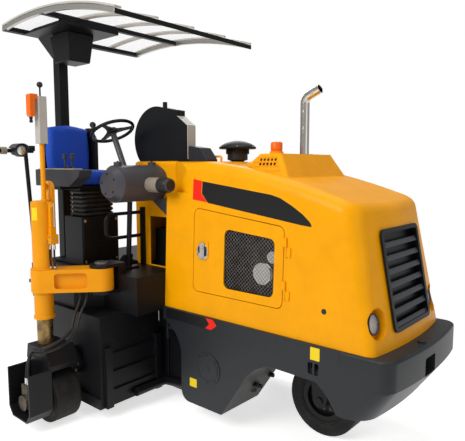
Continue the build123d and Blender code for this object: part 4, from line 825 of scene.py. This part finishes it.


# Louvre faces in the grille, in a lighter grey as a painted highlight of the lit slats, and a plug in each
# flank of the hood

LOUVRES, LOUVRE_FOOT, LOUVRE_PITCH, LOUVRE_THICK = 7, 128, 81, 3
shape = bmesh.new()
for i in range(LOUVRES):
    up = LOUVRE_FOOT + LOUVRE_PITCH * i
    face = ((-247, -16), (247, -16), (247, 16), (-247, 16))
    prism(shape, [nose(across, up + v, -5 - 0.3 * v) for across, v in face], NOSE_OUT * -LOUVRE_THICK)
made("louvre_highlight_faces", shape, "chassis", "louvre_highlight_paint", 0.8)
lathe("hood_plug", "chassis", "plastic",
      (flank(1073, 1030, -1), (0, -1, FLANK_LEAN), ((0, 0), (17, 0), (17, 3), (13, 5), (0, 5)), 32),
      edge=0.5, mirrored=True)


# Steering wheel: hub boss, broad spokes and a ball on the knob

HUB = Vector((-805, -150, 2170))
HUB_UP = Vector((-0.4475, 0, 0.8943))
HUB_ACROSS = Vector(TO_LEFT)
HUB_BACK = HUB_UP.cross(HUB_ACROSS)
WHEEL_RADIUS = 167
KNOB_RADIUS = 24
SPOKE_ANGLES = (90, 210, 330)
SPOKE_DROP, SPOKE_THICK = 9, 17
SPOKE = ((30, -30), (100, -15), (162, -13), (162, 13), (100, 15), (30, 30))
shape = bmesh.new()
turned(shape, HUB - HUB_UP * 16, HUB_UP, ((0, 0), (40, 0), (46, 8), (44, 26), (34, 36), (0, 40)), 48)
for angle in SPOKE_ANGLES:
    along = HUB_ACROSS * math.cos(math.radians(angle)) + HUB_BACK * math.sin(math.radians(angle))
    aside = HUB_UP.cross(along)
    prism(shape, [HUB + along * r + aside * w - HUB_UP * SPOKE_DROP for r, w in SPOKE], HUB_UP * SPOKE_THICK)
knob = [(KNOB_RADIUS * math.sin(a), KNOB_RADIUS * (1 - math.cos(a)))
        for a in [math.pi * i / 10 for i in range(11)]]
turned(shape, HUB - HUB_ACROSS * WHEEL_RADIUS + HUB_UP * 22, HUB_UP, knob, 32)
made("wheel_boss", shape, "steering_wheel", "plastic", 3.0)


# Console: tan sleeve and dark end of the round housing, and the clamps' bolts

SLEEVE = ((50, 0), (54, 0), (56, 4), (56, 120), (54, 126), (50, 126))
SLEEVE_END = ((0, 0), (54, 0), (57, 4), (57, 70), (52, 96), (40, 108), (0, 110))
lathe("console_sleeve", "chassis", "tan_plastic", ((-424, -100, 1755), FORWARDS, SLEEVE, 64, True))
lathe("console_end", "chassis", "plastic", ((-298, -100, 1755), FORWARDS, SLEEVE_END, 64))
bolt_row("console_bolts", [(-560, y, 1929) for y in (-290, 40)], UP, 12, finish="plastic")
bolt_row("console_face_bolts", circle_of((-560, -380, 1762), TO_LEFT, 78, 5, 0.3), TO_RIGHT, 9,
         finish="black_paint")


# Armrest pad with its light edge, and boots under the levers

ARMREST_Y = -466
BOOT = ((0, 0), (24, 0), (22, 6), (18, 10), (20, 14), (14, 20), (15, 24), (8, 30), (0, 30))
pushed("armrest_pad", "chassis", "light_paint",
       [(x, y, 1868) for x, y in rounded(500, 100, 18, middle=(-1066, ARMREST_Y))], (0, 0, 9), edge=3.0)
lathe("lever_boots", "chassis", "rubber", *(((x, ARMREST_Y, 1869), UP, BOOT, 32) for x in (-900, -980)))


# Work lamp: glass, bezel, a ring on its side and a grey hood over it

LAMP_Y, LAMP_Z = -790, 2010
lathe("work_lamp_bezel", "chassis", "plastic",
      ((-1034, LAMP_Y, LAMP_Z), FORWARDS, ((40, 0), (47, 0), (47, 9), (43, 11), (40, 8)), 48, True))
lathe("work_lamp_glass", "chassis", "zinc",
      ((-1032, LAMP_Y, LAMP_Z), FORWARDS, ((0, 0), (41, 0), (40, 4), (24, 9), (0, 11)), 48), angle=60)
lathe("work_lamp_ring", "chassis", "tan_plastic",
      ((-1150, -850, LAMP_Z), TO_RIGHT, ((15, 0), (27, 0), (27, 40), (15, 40)), 40, True), edge=0.5)
hood_arc = [math.radians(20 + 14 * i) for i in range(11)]
over, under = ([(-1120, LAMP_Y + wide * math.cos(a), LAMP_Z + high * math.sin(a)) for a in hood_arc]
               for wide, high in ((60, 52), (56, 48)))
pushed("work_lamp_hood", "chassis", "console_paint", over + under[::-1], (104, 0, 0), edge=0.6)


# Wall and round beam under the frame, between the drum housing and the belt box

shape = bmesh.new()
brick(shape, (-700, 78, 112), (-139, 92, 622))
brick(shape, (-700, 60, 600), (-139, 92, 628))
for x in (-600, -430, -260):
    brick(shape, (x, 62, 120), (x + 12, 80, 600))
made("belly_wall", shape, "chassis", "black_paint", 1.5)
lathe("front_beam", "chassis", "black_paint",
      ((-462, -240, 150), TO_LEFT, ((0, 0), (34, 0), (34, 310), (0, 310)), 32),
      ((-470, 62, 150), (1, 0, 0.12), ((0, 0), (34, 0), (34, 330), (0, 330)), 32), edge=1.0)


# Pulleys seen through the window mesh

PULLEY = ((0, 0), (74, 0), (74, 8), (66, 14), (74, 20), (74, 28), (40, 30), (40, 46), (0, 46))
lathe("engine_pulleys", "chassis", "zinc",
      ((560, 20, 1180), TO_LEFT, PULLEY, 48),
      ((640, 24, 1300), TO_LEFT, ((0, 0), (40, 0), (40, 24), (0, 24)), 40), edge=0.5)


# Canopy: light strips under the clear sheet, along its arc, and the box that hangs beside the post

ROOF_BARS = ((-1555.0, 3000.0), (-975.0, 3030.0), (-95.0, 2875.0))
STRIP_WIDTH = 50
BOX_MIDDLE = (-1265, -195)
BOX_TOP, BOX_FOOT, BOX_TAPER = 2968, 2742, 0.8


def roof_arc(drop, count=32):
    """Points along the canopy's arc, from its rear bar to its front bar, a distance below the sheet."""
    (ax, az), (bx, bz), (cx, cz) = ROOF_BARS
    double = 2 * (ax * (bz - cz) + bx * (cz - az) + cx * (az - bz))
    a2, b2, c2 = (x * x + z * z for x, z in ROOF_BARS)
    x = (a2 * (bz - cz) + b2 * (cz - az) + c2 * (az - bz)) / double
    z = (a2 * (cx - bx) + b2 * (ax - cx) + c2 * (bx - ax)) / double
    radius = math.hypot(ax - x, az - z) - drop
    start, end = math.atan2(az - z, ax - x), math.atan2(cz - z, cx - x)
    steps = [start + (end - start) * i / count for i in range(count + 1)]
    return [(x + radius * math.cos(a), z + radius * math.sin(a)) for a in steps]


shape = bmesh.new()
for y in (-288, 52, 392):
    prism(shape, [(x, y - STRIP_WIDTH / 2, z) for x, z in roof_arc(1) + roof_arc(5)[::-1]],
          (0, STRIP_WIDTH, 0))
made("roof_strips", shape, "chassis", "light_paint", 0)

shape = bmesh.new()
corners = ((-135, -125), (135, -125), (135, 125), (-135, 125))
top, foot = ([shape.verts.new((BOX_MIDDLE[0] + x * taper, BOX_MIDDLE[1] + y * taper, z)) for x, y in corners]
             for taper, z in ((1, BOX_TOP), (BOX_TAPER, BOX_FOOT)))
shape.faces.new(top[::-1])
shape.faces.new(foot)
skin(shape, [top, foot])
made("canopy_box", shape, "chassis", "black_paint", 8.0)


# Greasy pipes under the belly, a bar in the towing pocket and one on the front wheel

PIPE_END = ((0, 0), (30, 0), (34, 10), (34, 60), (20, 76), (0, 76))
for number, (y, z, longer) in enumerate(((140, 300, 60), (210, 270, 40), (300, 330, 80))):
    run = 130 + longer
    lathe(f"belly_pipe_{number}", "chassis", "cast_iron",
          ((240, y, z), (1, 0.1, 0.12), ((0, 0), (22, 0), (22, 40), (16, 46), (16, run), (0, run)), 24),
          ((330, y + 10, z - 34), UP, PIPE_END, 24), edge=0.5)
lathe("pocket_bar", "chassis", "zinc",
      ((1494, 330, 700), (0.1, 1, 0.05), ((0, 0), (7, 0), (7, 150), (0, 150)), 16))
lathe("wheel_valve_bar", "front_wheel", "aluminium",
      ((900, 432, 228), (0.8, 0, 0.55), ((0, 0), (12, 0), (12, 96), (0, 96)), 16))


# Ribbed mat on the deck

MAT_RIBS, MAT_PITCH, MAT_RIB = 12, 9, 4
shape = bmesh.new()
brick(shape, (-924, -312, 1099), (-812, 74, 1106))
for i in range(MAT_RIBS):
    x = -920 + MAT_PITCH * i
    brick(shape, (x, -308, 1105), (x + MAT_RIB, 70, 1109))
made("deck_mat", shape, "chassis", "rubber", 0.8)


# Rubber bellows under the seat: rounded folds between flat end frames

FOLDS, FOLD_PITCH, FOLD_STEPS = 6, 36.0, 8
BELLOWS, BELLOWS_FOOT = (-1055, -187.5), 1490
shape = bmesh.new()
rows = []
for i in range(FOLDS * FOLD_STEPS + 1):
    z = BELLOWS_FOOT + FOLD_PITCH * i / FOLD_STEPS
    swell = abs(math.sin(math.pi * i / FOLD_STEPS)) ** 0.6
    outline = rounded(192 + 28 * swell, 266 + 29 * swell, 34, 8, BELLOWS)
    rows.append([shape.verts.new((x, y, z)) for x, y in outline])
skin(shape, rows)
shape.faces.new(rows[0])
shape.faces.new(rows[-1])
made("seat_bellows_folds", shape, "chassis", "rubber", 0, angle=60, replaced=("seat_bellows",))


# Seat: two stuffed pads in a cloth cover, swollen by simulation from a slightly smaller shape

BALL_SIZE, SOFTNESS = 1.12, 0.34
VOXEL, SWELL_LIMIT = 8.0, 9.0
SWELL_FRAMES = 14


def stuffed(name, corners, lean, replaced=()):
    """A stuffed pad: a soft block, blown up by cloth pressure within a limit, and smoothed."""
    (x0, y0, z0), (x1, y1, z1) = corners
    shape = bmesh.new()
    middle = Vector(((x0 + x1) / 2, (y0 + y1) / 2, (z0 + z1) / 2))
    size = Vector((x1 - x0, y1 - y0, z1 - z0)) / 2
    bmesh.ops.create_cube(shape, size=2.0)
    bmesh.ops.subdivide_edges(shape, edges=shape.edges, cuts=9, use_grid_fill=True)
    for vertex in shape.verts:
        ball = vertex.co.normalized() * BALL_SIZE
        soft = vertex.co.lerp(ball, SOFTNESS)
        vertex.co = middle + Vector((soft.x * size.x, soft.y * size.y, soft.z * size.z))
        vertex.co.x += lean * (vertex.co.z - z0)
    bmesh.ops.scale(shape, vec=(MM, MM, MM), verts=shape.verts)
    mesh = bpy.data.meshes.new(name)
    shape.to_mesh(mesh)
    shape.free()
    piece = placed(name, mesh)
    remesh = piece.modifiers.new("even_faces", "REMESH")
    remesh.mode = "VOXEL"
    remesh.voxel_size = VOXEL * MM
    piece.data = settled(piece)
    piece.modifiers.clear()
    before = [vertex.co.copy() for vertex in piece.data.vertices]
    cloth = piece.modifiers.new("swell", "CLOTH")
    cloth.settings.use_pressure = True
    cloth.settings.uniform_pressure_force = 4.0
    cloth.settings.effector_weights.gravity = 0.0
    for step in range(1, SWELL_FRAMES + 1):
        bpy.context.scene.frame_set(step)
    after = settled(piece)
    piece.modifiers.clear()
    piece.data = after
    for vertex, start in zip(after.vertices, before):
        move = vertex.co - start
        vertex.co = start + move * min(1.0, SWELL_LIMIT * MM / max(move.length, 1e-9))
    bpy.context.scene.frame_set(1)
    for face in piece.data.polygons:
        face.use_smooth = True
    piece.data.materials.clear()
    piece.data.materials.append(finishes["blue_vinyl"])
    eased = piece.modifiers.new("eased", "SMOOTH")
    eased.factor = 0.5
    eased.iterations = 4
    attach(piece, "chassis")
    if replaced:
        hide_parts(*replaced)


stuffed("seat_cushion", ((-1322, -397, 1748), (-908, 17, 1856)), 0.0, replaced=("seat",))
stuffed("seat_back", ((-1416, -397, 1776), (-1342, 17, 2240)), -0.028)


# Hoses: rubber tubes along a smooth line through the route's points

def hose_line(points):
    """A smooth line drawn by the route's points in millimetres, as points in metres."""
    curve = bpy.data.curves.new("route", "CURVE")
    curve.dimensions = "3D"
    curve.resolution_u = 12
    line = curve.splines.new("NURBS")
    line.points.add(len(points) - 1)
    for point, place in zip(line.points, points):
        point.co = (*(Vector(place) * MM), 1.0)
    line.order_u = 3
    line.use_endpoint_u = True
    holder = placed("route", curve)
    mesh = settled(holder)
    bpy.data.objects.remove(holder)
    return [vertex.co.copy() for vertex in mesh.vertices]


def tube_along(shape, line, radius, sides=14):
    """A closed tube round a line, in metres."""
    side = (line[1] - line[0]).orthogonal().normalized()
    rows = []
    for i, place in enumerate(line):
        way = (line[min(i + 1, len(line) - 1)] - line[max(i - 1, 0)]).normalized()
        side = (side - way * side.dot(way)).normalized()
        other = way.cross(side)
        angles = [2 * math.pi * k / sides for k in range(sides)]
        rows.append([shape.verts.new(place + (side * math.cos(a) + other * math.sin(a)) * radius)
                     for a in angles])
    skin(shape, rows)
    shape.faces.new(rows[0])
    shape.faces.new(rows[-1])


def hose(name, body, points, diameter, stretch=None, replaced=()):
    """A hose between two fittings; stretch names the body at its far end where a joint moves it."""
    line = hose_line(points)
    shape = bmesh.new()
    tube_along(shape, line, diameter * MM / 2)
    bmesh.ops.recalc_face_normals(shape, faces=shape.faces)
    for face in shape.faces:
        face.smooth = True
    piece = placed(name, mesh_of(name, shape, "rubber"))
    if stretch:
        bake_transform(piece)
    else:
        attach(piece, body)
    if replaced:
        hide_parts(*replaced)


FITTING = ((0, -6), (15, -6), (15, 8), (13, 10), (13, 44), (12, 46), (0, 46))
FERRULE = ((0, 0), (11, 0), (11, 12), (9, 14), (9, 34), (0, 34))
DRIVE_HOSE, COLUMN_HOSE = 22, 15
MOTOR_X, MOTOR_Z = -854, 330
RIGHT_MOTOR_Y, LEFT_MOTOR_Y = -920, 640
HOSE_PITCH, MOTOR_PITCH = 34.0, 30.6
for number in range(2):
    shift = HOSE_PITCH * number
    motor_x = MOTOR_X + MOTOR_PITCH * number
    hose(f"drive_hose_right_{number}", "right_arm",
         ((-668 - shift, -512 - shift, 972), (-668 - shift, -512 - shift, 905),
          (-640 - shift / 2, -600 - shift, 820), (-620, -660 - shift, 650 + shift),
          (-620, -890 - shift, 600 + shift), (motor_x, RIGHT_MOTOR_Y, 560 + shift),
          (motor_x, RIGHT_MOTOR_Y, MOTOR_Z)),
         DRIVE_HOSE, "right_leg", replaced=("hoses_right",) if number == 0 else ())
    hose(f"drive_hose_left_{number}", "chassis",
         ((-600 + shift, LEFT_MOTOR_Y, 795), (-600 + shift, LEFT_MOTOR_Y, 660), (motor_x, LEFT_MOTOR_Y, 600),
          (motor_x, LEFT_MOTOR_Y, MOTOR_Z)),
         DRIVE_HOSE, "left_leg", replaced=("hoses_left",) if number == 0 else ())
    for body, y in (("right_leg", RIGHT_MOTOR_Y), ("left_leg", LEFT_MOTOR_Y)):
        lathe(f"hose_fitting_{body}_{number}", body, "zinc",
              ((motor_x, y, MOTOR_Z), UP, FITTING, 24), edge=0.5)

for number, (x, y) in enumerate(((-834, -704), (-804, -688))):
    hose(f"column_hose_{number}", "right_arm",
         ((x, y, 1334), (x - 2, y - 4, 1290), (x + 4, y - 6, 1200), (x + 2, y, 1140)), COLUMN_HOSE)
    lathe(f"column_fitting_{number}", "right_arm", "zinc",
          *(((x, y - 1, z), UP, FERRULE, 24) for z in (1290, 1150)), edge=0.5)


# Floor: matt under the machine, fading to plain white around it

HALF_FLOOR = 60.0
FLOOR_NEAR, FLOOR_FAR, FLOOR_LIFT = 1.9, 3.2, 0.62
floor_mesh = bpy.data.meshes.new("floor")
corners = ((-1, -1), (1, -1), (1, 1), (-1, 1))
floor_mesh.from_pydata([(x * HALF_FLOOR, y * HALF_FLOOR, 0) for x, y in corners], [], [(0, 1, 2, 3)])
floor = placed("floor", floor_mesh)
pale, tree = empty_material("pale_floor")
rays = put(tree, "ShaderNodeLightPath").outputs
lit = maths(tree, "MAXIMUM", rays["Is Camera Ray"], rays["Is Glossy Ray"])
seen = maths(tree, "MAXIMUM", lit, rays["Is Transmission Ray"])
place = put(tree, "ShaderNodeTexCoord").outputs["Object"]
from_middle = put(tree, "ShaderNodeVectorMath", {0: place, 1: (0.1, 0.2, 0.0)}, operation="DISTANCE")
distance = ranged(tree, from_middle.outputs["Value"], FLOOR_NEAR, FLOOR_FAR, interpolation_type="SMOOTHSTEP")
matt = put(tree, "ShaderNodeBsdfDiffuse", {"Color": linear("F4F4F2")})
lift = maths(tree, "MULTIPLY", seen, FLOOR_LIFT)
glow = put(tree, "ShaderNodeEmission", {"Color": (1, 1, 1, 1), "Strength": lift})
near = put(tree, "ShaderNodeAddShader", {0: matt.outputs[0], 1: glow.outputs[0]})
white = put(tree, "ShaderNodeEmission", {"Color": (1, 1, 1, 1), "Strength": 1.0})
share = maths(tree, "MULTIPLY", seen, distance)
whole = put(tree, "ShaderNodeMixShader", {0: share, 1: near.outputs[0], 2: white.outputs[0]})
put(tree, "ShaderNodeOutputMaterial", {"Surface": whole.outputs[0]})
floor_mesh.materials.append(pale)


# World: white where the camera sees it, dimmer as a light

world = bpy.data.worlds.new("studio")
bpy.context.scene.world = world
world.use_nodes = True
tree = world.node_tree
tree.nodes.clear()
rays = put(tree, "ShaderNodeLightPath").outputs
open_way = maths(tree, "MAXIMUM", rays["Is Camera Ray"], rays["Is Transmission Ray"])
soft = put(tree, "ShaderNodeBackground", {"Color": linear("FFFFFF"), "Strength": 0.38})
white = put(tree, "ShaderNodeBackground", {"Color": linear("FFFFFF"), "Strength": 1.0})
both = put(tree, "ShaderNodeMixShader", {0: open_way, 1: soft.outputs[0], 2: white.outputs[0]})
put(tree, "ShaderNodeOutputWorld", {"Surface": both.outputs[0]})


# Lights and camera

def softbox(name, place, target, size, power):
    """A square soft light pointed at a place on the machine."""
    lamp = bpy.data.lights.new(name, "AREA")
    lamp.size = size
    lamp.energy = power
    light = placed(name, lamp)
    light.location = place
    light.rotation_mode = "QUATERNION"
    light.rotation_quaternion = (Vector(target) - Vector(place)).to_track_quat("-Z", "Y")


softbox("key", (-0.5, -6.5, 5.5), (0, 0, 1), 4.0, 365)
softbox("fill", (7.5, -1.0, 3.5), (0, 0, 1), 5.0, 50)
softbox("overhead", (0.3, 0.5, 7.5), (0.3, 0.4, 1), 5.0, 175)
softbox("rim", (-5.0, 6.0, 6.0), (0, 0, 1.5), 4.0, 150)

camera_data = bpy.data.cameras.new("photo_view")
camera_data.sensor_width = 36.0
camera_data.lens = 40.41
camera = placed("photo_view", camera_data)
turn, pitch = math.radians(40.67), math.radians(6.01)
back = Vector((math.sin(turn) * math.cos(pitch), -math.cos(turn) * math.cos(pitch), math.sin(pitch)))
camera.location = (2.645, -2.705, 1.90)
camera.rotation_mode = "QUATERNION"
camera.rotation_quaternion = (-back).to_track_quat("-Z", "Y")
bpy.context.scene.camera = camera
bpy.context.scene.view_settings.view_transform = "Standard"
